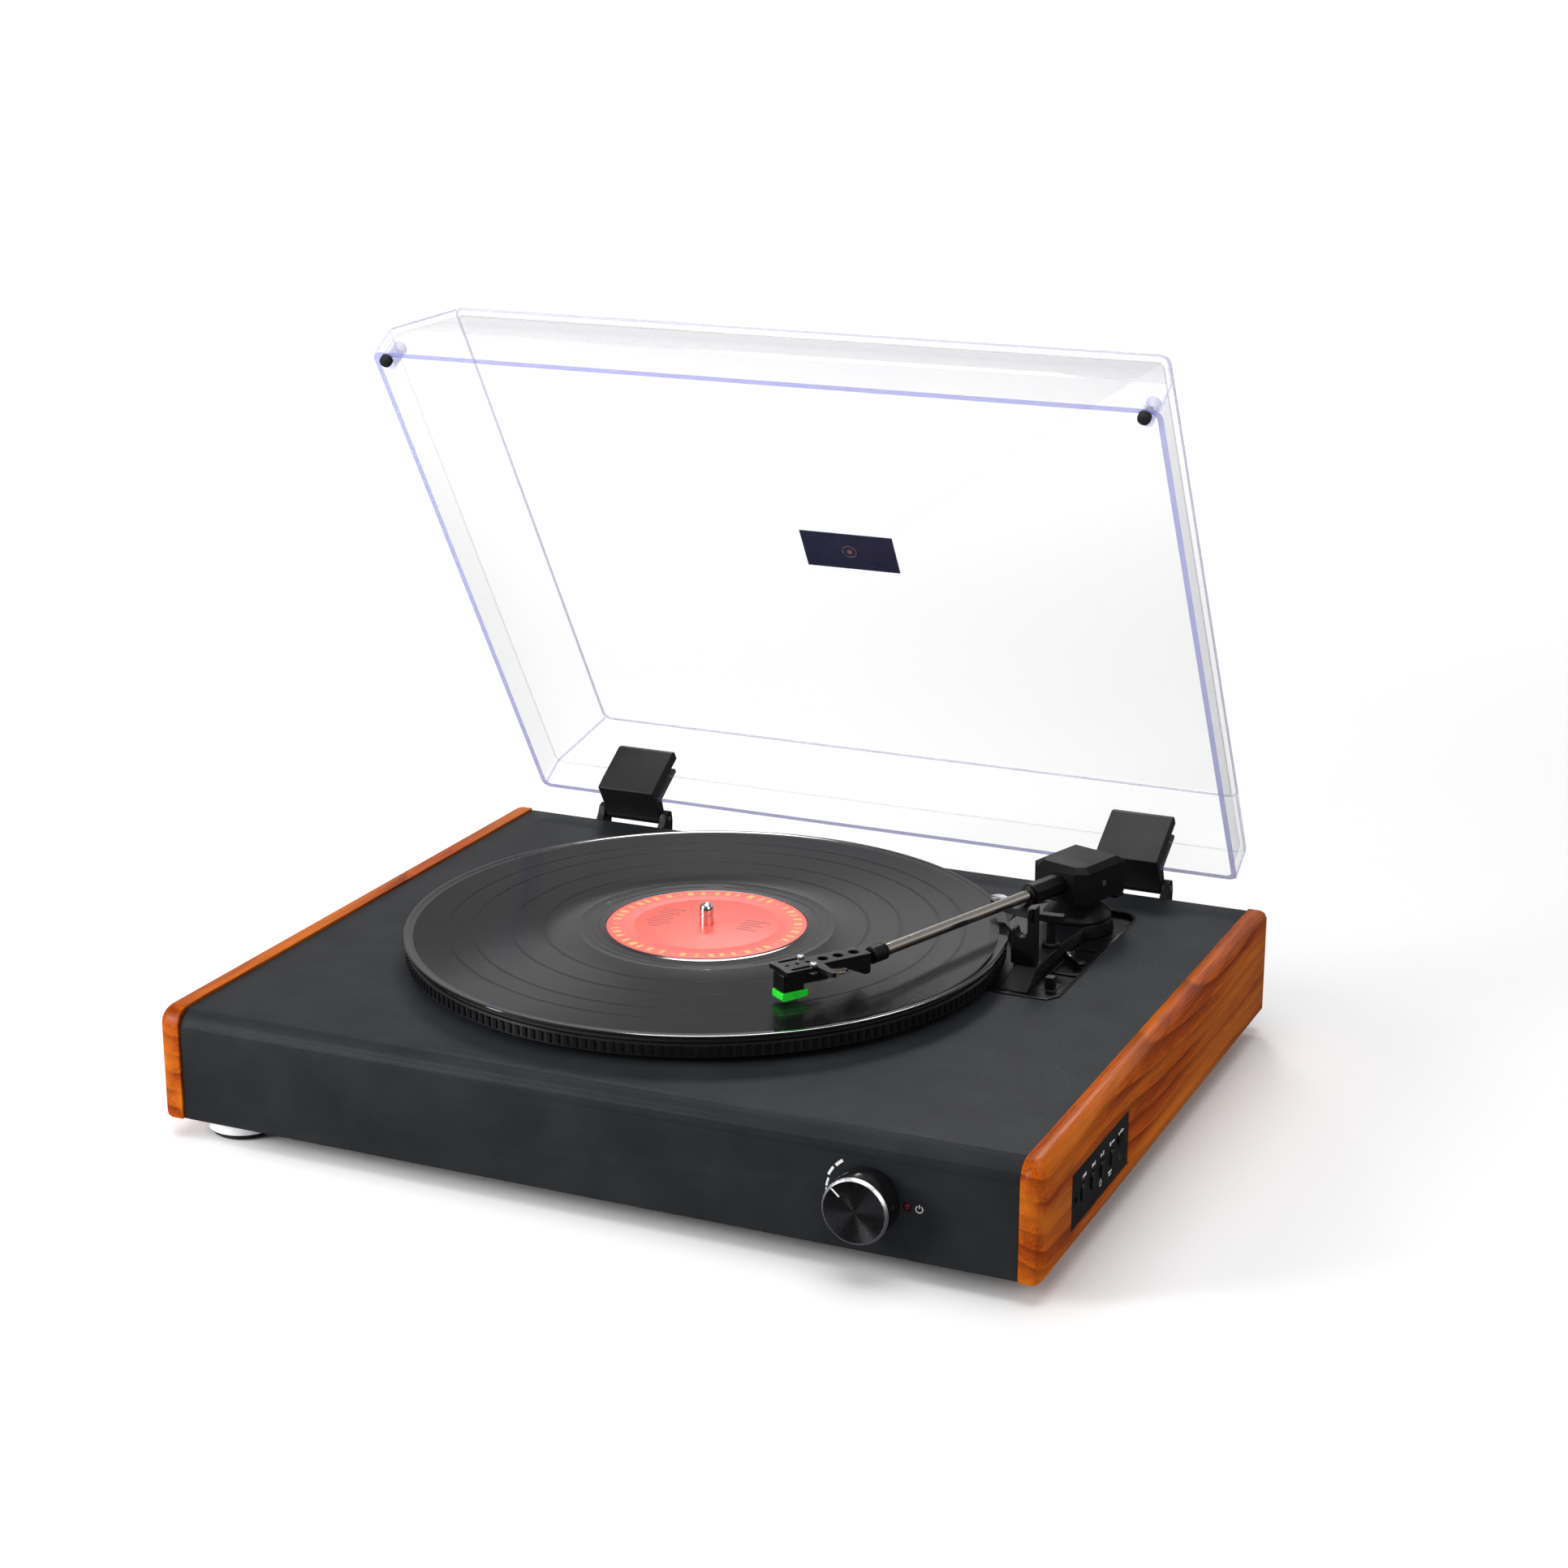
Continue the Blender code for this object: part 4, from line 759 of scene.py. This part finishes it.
# block under the back of the plate, and its two walls
blk = extrude("headshell_rear_block", "plastic", "arm", [(0.1, -2.25), (0.1, -9.6), (1.0, -10.2), (3.2, -10.2), (5.2, -9.2), (5.2, -2.25)],
              lambda a, h, s: hs(a, s, h), -5.5, 5.5, bevel=0.4)
for sgn, tag in ((1, "right"), (-1, "left")):
    extrude("headshell_wall_" + tag, "plastic", "arm", [(5.25, -2.25), (5.25, -9.2), (9.0, -7.4), (15.0, -4.3), (24.5, -3.6), (27.5, -2.25)],
            lambda a, h, s: hs(a, s, h), 4.3 * sgn, 5.5 * sgn, bevel=0.2)
for sy in (-5.9, 5.9):
    turned("cartridge_screw_%s" % ("left" if sy < 0 else "right"), "steel", "arm",
           [(0, 0.1), (1.9, 0.1), (1.9, 0.9), (1.5, 1.35), (0.55, 1.45), (0.55, 0.8), (0, 0.8)], lambda a, b, h, sy=sy: hs(32.0 + a, sy + b, h), n=24)
    turned("cartridge_nut_%s" % ("left" if sy < 0 else "right"), "steel", "arm",
           [(0, -2.3), (2.2, -2.3), (2.2, -3.7), (0, -3.7)], lambda a, b, h, sy=sy: hs(32.0 + a, sy + b, h), n=6)

cb = -HT - 0.3
body = extrude("cartridge_shell", "plastic", "arm",
               [(21.6, cb), (47.0, cb), (47.6, cb - 0.5), (47.6, cb - 8.8), (36.4, cb - 8.8), (36.4, cb - 6.2), (23.4, cb - 6.2), (22.2, cb - 5.4), (21.6, cb - 4.2)],
               lambda a, h, s: hs(a, s, h), -4.7, 4.7, bevel=0.35, cad="cartridge_body")
# bright metal cheek on each side, and the four contact pins behind
for sgn, tag in ((1, "right"), (-1, "left")):
    extrude("cartridge_cheek_" + tag, "pale_metal", "arm",
            [(36.4, cb - 4.4), (31.4, cb - 5.5), (29.6, cb - 7.6), (21.5, cb - 7.4), (21.5, cb - 8.4), (34.1, cb - 11.7), (34.1, cb - 9.1), (36.4, cb - 8.95)],
            lambda a, h, s: hs(a, s, h), 3.9 * sgn, 4.6 * sgn, bevel=0.12)
for i, (s_, h_) in enumerate(((-3.3, -2.2), (-3.3, -4.9), (3.3, -2.2), (3.3, -4.9))):
    turned("contact_pin_%d" % (i + 1), "gold", "arm", [(0, 13.2), (0.35, 13.1), (0.8, 13.4), (0.8, 16.8), (0.55, 17.0), (0.55, 21.5), (0, 21.5)],
           lambda a, b, h, s_=s_, h_=h_: hs(h, s_ + a, h_ + cb + b), n=16)
    pts = [Vector(hs(13.2, s_, h_ + cb)), Vector(hs(11.6, s_ * 0.9, h_ + cb + 0.2)), Vector(hs(9.4, s_ * 0.7, h_ * 0.8 + cb)), Vector(hs(7.2, s_ * 0.5, -5.2 + 0.4 * i)), Vector(hs(5.0, s_ * 0.4, -5.6 + 0.4 * i))]
    sweep("cartridge_wire_%d" % (i + 1), "rubber", "arm", pts, 0.38, n=8)

# stylus block: a green wedge with a stepped nose
sty = extrude("stylus_green_body", "green", "arm",
              [(34.2, cb - 9.1), (47.9, cb - 9.1), (48.1, cb - 9.4), (48.1, cb - 12.3), (47.5, cb - 13.0), (46.2, cb - 13.15), (43.0, cb - 12.9), (35.4, cb - 12.5), (34.2, cb - 12.0)],
              lambda a, h, s: hs(a, s, h), -4.7, 4.7, bevel=0.35, cad="stylus_assembly")
sweep("stylus_cantilever", "steel", "arm", [Vector(hs(37.5, 0, cb - 12.2)), Vector(hs(43.4, 0, -15.95))], 0.35, n=10)
turned("stylus_tip", "gloss", "arm", [(0, -16.6), (0.12, -16.5), (0.4, -15.9), (0, -15.8)], lambda a, b, h: hs(43.6 + a, b, h), n=12)

# ---------------------------------------------------------------------- controls
KX, KZ, KR = 353.8, 25.3, 15.5
kf = lambda a, b, h: P(KX + a, h, KZ + b)
turned("knob_body", "gloss", "knob",
       [(0, -14.6), (13.4, -14.6), (13.4, -14.8), (14.2, -14.8), (15.4, -13.6), (15.5, -13.4), (15.5, -1.2), (15.1, -0.6), (2.9, -0.6), (2.9, 24.0), (0, 24.0)],
       kf, n=96, cad="volume_knob")
turned("knob_bright_chamfer", "ring_metal", "knob", [(14.0, -15.15), (14.35, -15.2), (15.35, -14.2), (15.5, -13.9), (15.45, -13.7), (14.0, -14.85)], kf, n=96)
turned("knob_spun_face", "knob_face", "knob",
       [(0, -15.0), (4.0, -15.0), (13.5, -15.06), (13.9, -15.2), (14.25, -15.2), (14.3, -14.95), (13.2, -14.65), (0, -14.65)], kf, n=96)
t = math.radians(90 + 48)
decal("knob_pointer", "white", "knob", [bar(KX + 9.2 * math.cos(t), KZ + 9.2 * math.sin(t), KX + 14.1 * math.cos(t), KZ + 14.1 * math.sin(t), 0.7)],
      front, -15.3, -15.05)
marks = []
for x, z, ln, wd in ((340.5, 39.9, 4.3, 1.4), (336.6, 35.5, 4.6, 1.2), (335.0, 30.0, 4.0, 0.95), (334.5, 26.2, 2.2, 0.6)):
    t = math.atan2(z - KZ, x - KX)
    r_ = math.hypot(z - KZ, x - KX)
    dt = ln / 2 / r_
    marks.append(arc_band(KX, KZ, r_ - wd / 2, r_ + wd / 2, math.degrees(t - dt), math.degrees(t + dt), 5))
decal("volume_scale_marks", "white", "chassis", marks, front, -0.06, 0.05)
px, pz = 377.8, 24.9
decal("power_symbol", "white", "chassis", [arc_band(px, pz, 1.4, 1.75, 122, 418, 20), bar(px, pz + 0.4, px, pz + 2.1, 0.36)], front, -0.06, 0.05)
copy_of("power_led", "power_lens", "led", smooth=40)
give("volume_pot", "steel")

XF = W + 11.3 - 0.4
copy_of("control_plate", "side_control_plate", "plastic_matt", bevel=0.2, dissolve=0)
for i in range(4):
    copy_of("side_button_%d" % (i + 1), "side_push_button_%d" % (i + 1), "gloss", bevel=0.5, segs=3)
give("usb_socket", "steel")
copy_of("phones_jack", "phones_socket", "gloss", smooth=40)
lo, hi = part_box("usb_socket")
uy, uz = (lo.y + hi.y) / 2 * 1000 - Y0, (lo.z + hi.z) / 2 * 1000 - Z0
box_x1 = hi.x * 1000 - X0
extrude("usb_tongue", "plastic", "chassis", [(uy - 1.5, uz - 5.2), (uy + 0.1, uz - 5.2), (uy + 0.1, uz + 5.2), (uy - 1.5, uz + 5.2)], side, box_x1 - 7.0, box_x1 - 1.2)
for k in range(4):
    extrude("usb_contact_%d" % (k + 1), "gold", "chassis",
            [(uy + 0.12, uz - 4.1 + 2.4 * k), (uy + 0.3, uz - 4.1 + 2.4 * k), (uy + 0.3, uz - 3.1 + 2.4 * k), (uy + 0.12, uz - 3.1 + 2.4 * k)], side, box_x1 - 6.6, box_x1 - 1.4)


def tri(y, z, w, h, d=1):
    return [(y - d * w / 2, z - h / 2), (y - d * w / 2, z + h / 2), (y + d * w / 2, z)]


zi, zl = 29.4, 15.7
marks = [tri(52.5, zi, 1.9, 2.0, -1), tri(54.3, zi, 1.9, 2.0, -1), bar(51.0, zi - 1, 51.0, zi + 1, 0.45),
         tri(64.3, zi, 1.9, 2.0), tri(66.1, zi, 1.9, 2.0), bar(67.5, zi - 1, 67.5, zi + 1, 0.45),
         tri(76.2, zi, 2.0, 2.0), bar(78.3, zi - 1, 78.3, zi + 1, 0.5), bar(79.4, zi - 1, 79.4, zi + 1, 0.5),
         circle(88.9, zi, 1.0, 16), bar(90.9, zi, 94.5, zi, 0.7),
         bar(101.3, zi, 106.9, zi, 0.5), tri(107.1, zi, 1.6, 1.6), bar(102.9, zi, 104.7, zi + 1.2, 0.4), circle(101.3, zi, 0.7, 12),
         arc_band(76.0, zl + 0.3, 1.2, 1.6, 122, 418, 14), bar(76.0, zl + 0.8, 76.0, zl + 2.4, 0.4),
         bar(86.9, zl + 0.3, 91.5, zl + 0.3, 0.9), bar(87.3, zl - 1.2, 91.1, zl - 1.2, 0.4)]
decal("control_symbols", "white", "chassis", marks, side, XF - 0.04, XF + 0.06)

# ------------------------------------------------------------------------- rear
copy_of("jack_panel", "rear_socket_panel", "plastic", bevel=0.25, dissolve=0)
for i, (tag, mat) in enumerate((("left", "white"), ("right", "red_mark"))):
    copy_of("line_out_" + tag, "phono_socket_" + tag, "steel", smooth=40)
    lo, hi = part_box("line_out_" + tag)
    cx, cz = (lo.x + hi.x) / 2 * 1000 - X0, (lo.z + hi.z) / 2 * 1000 - Z0
    turned("phono_insert_" + tag, mat, "chassis", [(1.2, D - 5.9), (3.1, D - 5.9), (3.1, D + 6.4), (1.9, D + 6.4), (1.2, D + 5.6)],
           lambda a, b, h, cx=cx, cz=cz: P(cx + a, h, cz + b), n=28)
copy_of("dc_inlet", "power_inlet", "gloss", smooth=40)
turned("power_inlet_pin", "steel", "chassis", [(0, D - 9.4), (0.9, D - 9.4), (0.9, D - 1.6), (0.5, D - 1.0), (0, D - 1.0)], lambda a, b, h: P(232 + a, h, 28 + b), n=16)
for i, (x, z) in enumerate(((172.5, 37.8), (247.5, 37.8), (172.5, 18.2), (247.5, 18.2))):
    turned("socket_panel_screw_%d" % (i + 1), "steel", "chassis",
           [(0, D - 0.7), (2.2, D - 0.7), (2.2, D - 0.1), (1.6, D + 0.3), (0.5, D + 0.35), (0.5, D - 0.2), (0, D - 0.2)], lambda a, b, h, x=x, z=z: P(x + a, h, z + b), n=20)

# -------------------------------------------------------------------- dust cover
OPEN = math.radians(58.7)
CS, SN = math.cos(OPEN), math.sin(OPEN)
LW0, LW1, LL, LT, D1, D2, SF, SS, LC = 5.6, 415.6, 320.0, 3.0, 19.3, 57.5, 16.6, 14.5, 5.0


def lid(x, u, n):
    return P(x, 352.0 - u * CS + n * SN, H + 14.0 + u * SN + n * CS)


copy_of("dust_cover", "cover_clear_shell", "acrylic", smooth=25, dissolve=0)
ro = rrect(LW0 + 0.12, 0.12, LW1 - 0.12, LL - 0.12, LC - 0.1, 5)
ri = rrect(LW0 + LT - 0.12, LT - 0.12, LW1 - LT + 0.12, LL - LT + 0.12, LC - LT + 1.2, 5)


def band(name, mat, ra, na, rb, nb, th=0.12):
    """A thin closed strip between two rings of the cover."""
    bm = bmesh.new()
    va = [bm.verts.new(lid(x, u, na)) for x, u in ra]
    vb = [bm.verts.new(lid(x, u, nb)) for x, u in rb]
    vc = [bm.verts.new(lid(x, u, nb + th)) for x, u in rb]
    vd = [bm.verts.new(lid(x, u, na + th)) for x, u in ra]
    n = len(ra)
    for i in range(n):
        j = (i + 1) % n
        for p, q in ((va, vb), (vb, vc), (vc, vd), (vd, va)):
            bm.faces.new((p[i], p[j], q[j], q[i]))
    return obj_from(bm, name, mat, "lid", smooth=25)


# painted highlight: a violet strip on the rim's cut edge, where the clear sheet catches light
band("cover_rim_edge", "acrylic_edge", ro, 0.02, ri, 0.02, 0.1)


def line_ring(name, mat, ring, n_, r):
    pts = [lid(x, u, n_) for x, u in ring]
    bm = bmesh.new()
    m = len(pts)
    rings = []
    for i in range(m):
        d = (pts[(i + 1) % m] - pts[i - 1]).normalized()
        u_ = (Vector((0, SN, CS)) - d * d.dot(Vector((0, SN, CS)))).normalized()
        v_ = d.cross(u_)
        rings.append([bm.verts.new(pts[i] + (u_ * math.cos(math.pi * k / 3) + v_ * math.sin(math.pi * k / 3)) * r / 1000) for k in range(6)])
    for i in range(m):
        p, q = rings[i], rings[(i + 1) % m]
        for k in range(6):
            bm.faces.new((p[k], p[(k + 1) % 6], q[(k + 1) % 6], q[k]))
    return obj_from(bm, name, mat, "lid", smooth=60)


# painted highlights: thin pale lines along the top edge, the bend and the inner edge, where the clear sheet catches
# light
line_ring("cover_top_edge", "acrylic_glow", rrect(LW0 + SS + 0.5, 0.5, LW1 - SS - 0.5, LL - SF - 0.5, LC, 5), D2 - 0.6, 0.6)
line_ring("cover_bend_edge", "acrylic_faint", rrect(LW0 + 0.5, 0.5, LW1 - 0.5, LL - 0.5, LC, 5), D1, 0.42)
line_ring("cover_inner_edge", "acrylic_faint", rrect(LW0 + SS + LT, LT + 0.4, LW1 - SS - LT, LL - SF - LT, LC - 1.5, 5), D2 - LT - 0.1, 0.42)
# painted highlights: pale lines down the four corners of the cover
for i, (xa, ua) in enumerate(((LW0 + 1.2, LL - 1.2), (LW1 - 1.2, LL - 1.2), (LW0 + 1.2, 1.2), (LW1 - 1.2, 1.2))):
    sx = 1 if xa < 200 else -1
    su = SF if ua > 100 else 0.0
    sweep("cover_corner_edge_%d" % (i + 1), "acrylic_glow", "lid",
          [lid(xa, ua, 0.6), lid(xa, ua, D1), lid(xa + sx * SS, ua - su, D2 - 1.0)], 0.55, n=8)

for tag in ("left", "right"):
    copy_of("hinge_clip_" + tag, "cover_hinge_clip_" + tag, "plastic_matt", bevel=0.7, segs=3, smooth=38)
    copy_of("hinge_base_" + tag, "cover_hinge_base_" + tag, "plastic", bevel=0.5, smooth=38)
    give("hinge_pin_" + tag, "steel")
    bx = LW0 + 5.0 if tag == "left" else LW1 - 11.5
    cx, cu = bx + 3.25, LL - 3.8
    turned("cover_bumper_" + tag, "rubber", "lid",
           [(0, -4.2), (1.9, -4.1), (2.8, -3.6), (3.15, -2.7), (3.15, -0.35), (0, -0.35)],
           lambda a, b, h, cx=cx, cu=cu: lid(cx + a, cu + b, h), n=32, cad="lid_bumper_" + tag)
for tag, cx in (("left", LW0 + 8.25), ("right", LW1 - 8.25)):
    turned("cover_corner_post_" + tag, "acrylic_glow", "lid",
           [(2.6, 0.1), (3.5, 0.1), (3.5, 13.0), (3.0, 13.6), (2.6, 13.0)],
           lambda a, b, h, cx=cx: lid(cx + a, LL - 7.2 + b, h), n=28)
turned("bumper_post_right", "gloss", "lid", [(0, 0.3), (1.7, 0.3), (1.7, 6.6), (1.2, 7.2), (0, 7.2)],
       lambda a, b, h: lid(LW1 - 8.25 + a, LL - 5.6 + b, h), n=24)

give("lid_badge", "badge")
BX, BU, BW, BL = 184.5, 146.5, 52.0, 24.5
bf = lambda a, b, d: lid(BX + a, BU + b, D2 - LT - d)
decal("badge_plain_ring", "silver", "lid", annulus(BW / 2, BL / 2, 3.5, 4.0, 40), bf, 0.72, 0.78)
decal("badge_plain_dot", "silver", "lid", [circle(BW / 2, BL / 2, 1.5, 24)], bf, 0.72, 0.78)

# ------------------------------------------------------------ stage and camera
def stage_mat(name, color, rough):
    m = bpy.data.materials.new(name)
    m.use_nodes = True
    b = m.node_tree.nodes["Principled BSDF"]
    b.inputs["Base Color"].default_value = (*color, 1)
    b.inputs["Roughness"].default_value = rough
    b.inputs["Specular IOR Level"].default_value = 0.2
    return m


me = bpy.data.meshes.new("studio_floor")
bm = bmesh.new()
R = 30.0
bm.faces.new([bm.verts.new((x, y, -0.0006)) for x, y in ((-R, -R), (R, -R), (R, R), (-R, R))])
bm.to_mesh(me)
bm.free()
floor = bpy.data.objects.new("studio_floor", me)
bpy.context.scene.collection.objects.link(floor)
fm = stage_mat("pale_floor", (0.86, 0.86, 0.86), 0.9)
me.materials.append(fm)
# far away the floor gives off light of its own, so that it meets a white backdrop
fn = fm.node_tree
fco = fn.nodes.new("ShaderNodeTexCoord")
fl = fn.nodes.new("ShaderNodeVectorMath")
fl.operation = 'LENGTH'
fn.links.new(fco.outputs["Object"], fl.inputs[0])
fr = fn.nodes.new("ShaderNodeMapRange")
fr.interpolation_type = 'SMOOTHSTEP'
fr.inputs["From Min"].default_value = 0.5
fr.inputs["From Max"].default_value = 3.2
fr.inputs["To Min"].default_value = 0.0
fr.inputs["To Max"].default_value = 0.95
fn.links.new(fl.outputs["Value"], fr.inputs["Value"])
fb = fn.nodes["Principled BSDF"]
fb.inputs["Emission Color"].default_value = (1, 1, 1, 1)
fn.links.new(fr.outputs["Result"], fb.inputs["Emission Strength"])

world = bpy.data.worlds.new("studio")
world.use_nodes = True
wn = world.node_tree
bg = wn.nodes["Background"]
wtc = wn.nodes.new("ShaderNodeTexCoord")
wsep = wn.nodes.new("ShaderNodeSeparateXYZ")
wn.links.new(wtc.outputs["Generated"], wsep.inputs[0])
wr = wn.nodes.new("ShaderNodeValToRGB")
wr.color_ramp.elements[0].position = 0.48
wr.color_ramp.elements[0].color = (0.055, 0.057, 0.062, 1)
wr.color_ramp.elements[1].position = 0.62
wr.color_ramp.elements[1].color = (0.08, 0.08, 0.083, 1)
e_ = wr.color_ramp.elements.new(1.0)
e_.color = (0.30, 0.30, 0.31, 1)
wm = wn.nodes.new("ShaderNodeMapRange")
wm.inputs["From Min"].default_value = -1.0
wn.links.new(wsep.outputs[2], wm.inputs["Value"])
wn.links.new(wm.outputs["Result"], wr.inputs["Fac"])
wlp = wn.nodes.new("ShaderNodeLightPath")
wmix = wn.nodes.new("ShaderNodeMix")
wmix.data_type = 'RGBA'
wn.links.new(wlp.outputs["Is Camera Ray"], wmix.inputs[0])
wy = wn.nodes.new("ShaderNodeMapRange")
wy.interpolation_type = 'SMOOTHSTEP'
wy.inputs["From Min"].default_value = 0.2
wy.inputs["From Max"].default_value = 0.75
wn.links.new(wsep.outputs[1], wy.inputs["Value"])
wz = wn.nodes.new("ShaderNodeMapRange")
wz.interpolation_type = 'SMOOTHSTEP'
wz.inputs["From Min"].default_value = 0.62
wz.inputs["From Max"].default_value = 0.3
wn.links.new(wsep.outputs[2], wz.inputs["Value"])
wzl = wn.nodes.new("ShaderNodeMapRange")
wzl.interpolation_type = 'SMOOTHSTEP'
wzl.inputs["From Min"].default_value = -0.05
wzl.inputs["From Max"].default_value = 0.12
wn.links.new(wsep.outputs[2], wzl.inputs["Value"])
wyl = wn.nodes.new("ShaderNodeMath")
wyl.operation = 'MULTIPLY'
wn.links.new(wy.outputs["Result"], wyl.inputs[0])
wn.links.new(wzl.outputs["Result"], wyl.inputs[1])
wyz = wn.nodes.new("ShaderNodeMath")
wyz.operation = 'MULTIPLY'
wn.links.new(wyl.outputs[0], wyz.inputs[0])
wn.links.new(wz.outputs["Result"], wyz.inputs[1])
wback = wn.nodes.new("ShaderNodeMix")
wback.data_type = 'RGBA'
wn.links.new(wyz.outputs[0], wback.inputs[0])
wn.links.new(wr.outputs["Color"], wback.inputs[6])
wback.inputs[7].default_value = (0.55, 0.55, 0.56, 1)
# low in front the left is brighter than the right
wx = wn.nodes.new("ShaderNodeMapRange")
wx.inputs["From Min"].default_value = -0.25
wx.inputs["From Max"].default_value = -0.6
wx.inputs["To Min"].default_value = 0.0
wx.inputs["To Max"].default_value = 0.16
wn.links.new(wsep.outputs[0], wx.inputs["Value"])
wf = wn.nodes.new("ShaderNodeMapRange")
wf.inputs["From Min"].default_value = -0.2
wf.inputs["From Max"].default_value = -0.6
wn.links.new(wsep.outputs[1], wf.inputs["Value"])
wxf = wn.nodes.new("ShaderNodeMath")
wxf.operation = 'MULTIPLY'
wn.links.new(wx.outputs["Result"], wxf.inputs[0])
wn.links.new(wf.outputs["Result"], wxf.inputs[1])
wadd = wn.nodes.new("ShaderNodeMix")
wadd.data_type = 'RGBA'
wadd.blend_type = 'ADD'
wadd.inputs[0].default_value = 1.0
wn.links.new(wback.outputs[2], wadd.inputs[6])
wn.links.new(wxf.outputs[0], wadd.inputs[7])
wn.links.new(wadd.outputs[2], wmix.inputs[6])
wmix.inputs[7].default_value = (1, 1, 1, 1)
wn.links.new(wmix.outputs[2], bg.inputs["Color"])
bg.inputs["Strength"].default_value = 1.0
bpy.context.scene.world = world
floor.visible_glossy = False


def area(name, loc, target, size, power, color=(1, 1, 1), size_y=None):
    l = bpy.data.lights.new(name, 'AREA')
    l.energy = power
    l.size = size
    if size_y:
        l.shape = 'RECTANGLE'
        l.size_y = size_y
    l.color = color
    o = bpy.data.objects.new(name, l)
    bpy.context.scene.collection.objects.link(o)
    o.location = loc
    o.rotation_euler = (Vector(target) - Vector(loc)).to_track_quat('-Z', 'Y').to_euler()
    return o


area("overhead_softbox", (0.1, -0.1, 1.9), (0, 0, 0.1), 1.5, 25)
area("left_softbox", (-1.5, -1.1, 0.9), (-0.1, 0, 0.05), 0.9, 16)
area("front_left_key", (-0.78, -0.85, 0.38), (-0.16, -0.2, 0.03), 0.4, 8)
area("right_softbox", (1.7, -0.9, 1.0), (0.1, 0, 0.05), 1.3, 10)
area("back_softbox", (-0.75, 1.9, 1.65), (0, 0.1, 0.1), 0.7, 18, size_y=0.5)

cam = bpy.data.cameras.new("camera")
cam.lens = 68.447
cam.sensor_width = 36.0
cam.clip_start = 0.01
co = bpy.data.objects.new("camera", cam)
bpy.context.scene.collection.objects.link(co)
co.location = P(800.4, -1084.8, 572.6)
co.rotation_euler = (1.2724, -0.0002, 0.4212)
bpy.context.scene.camera = co
bpy.context.scene.view_settings.view_transform = 'Standard'
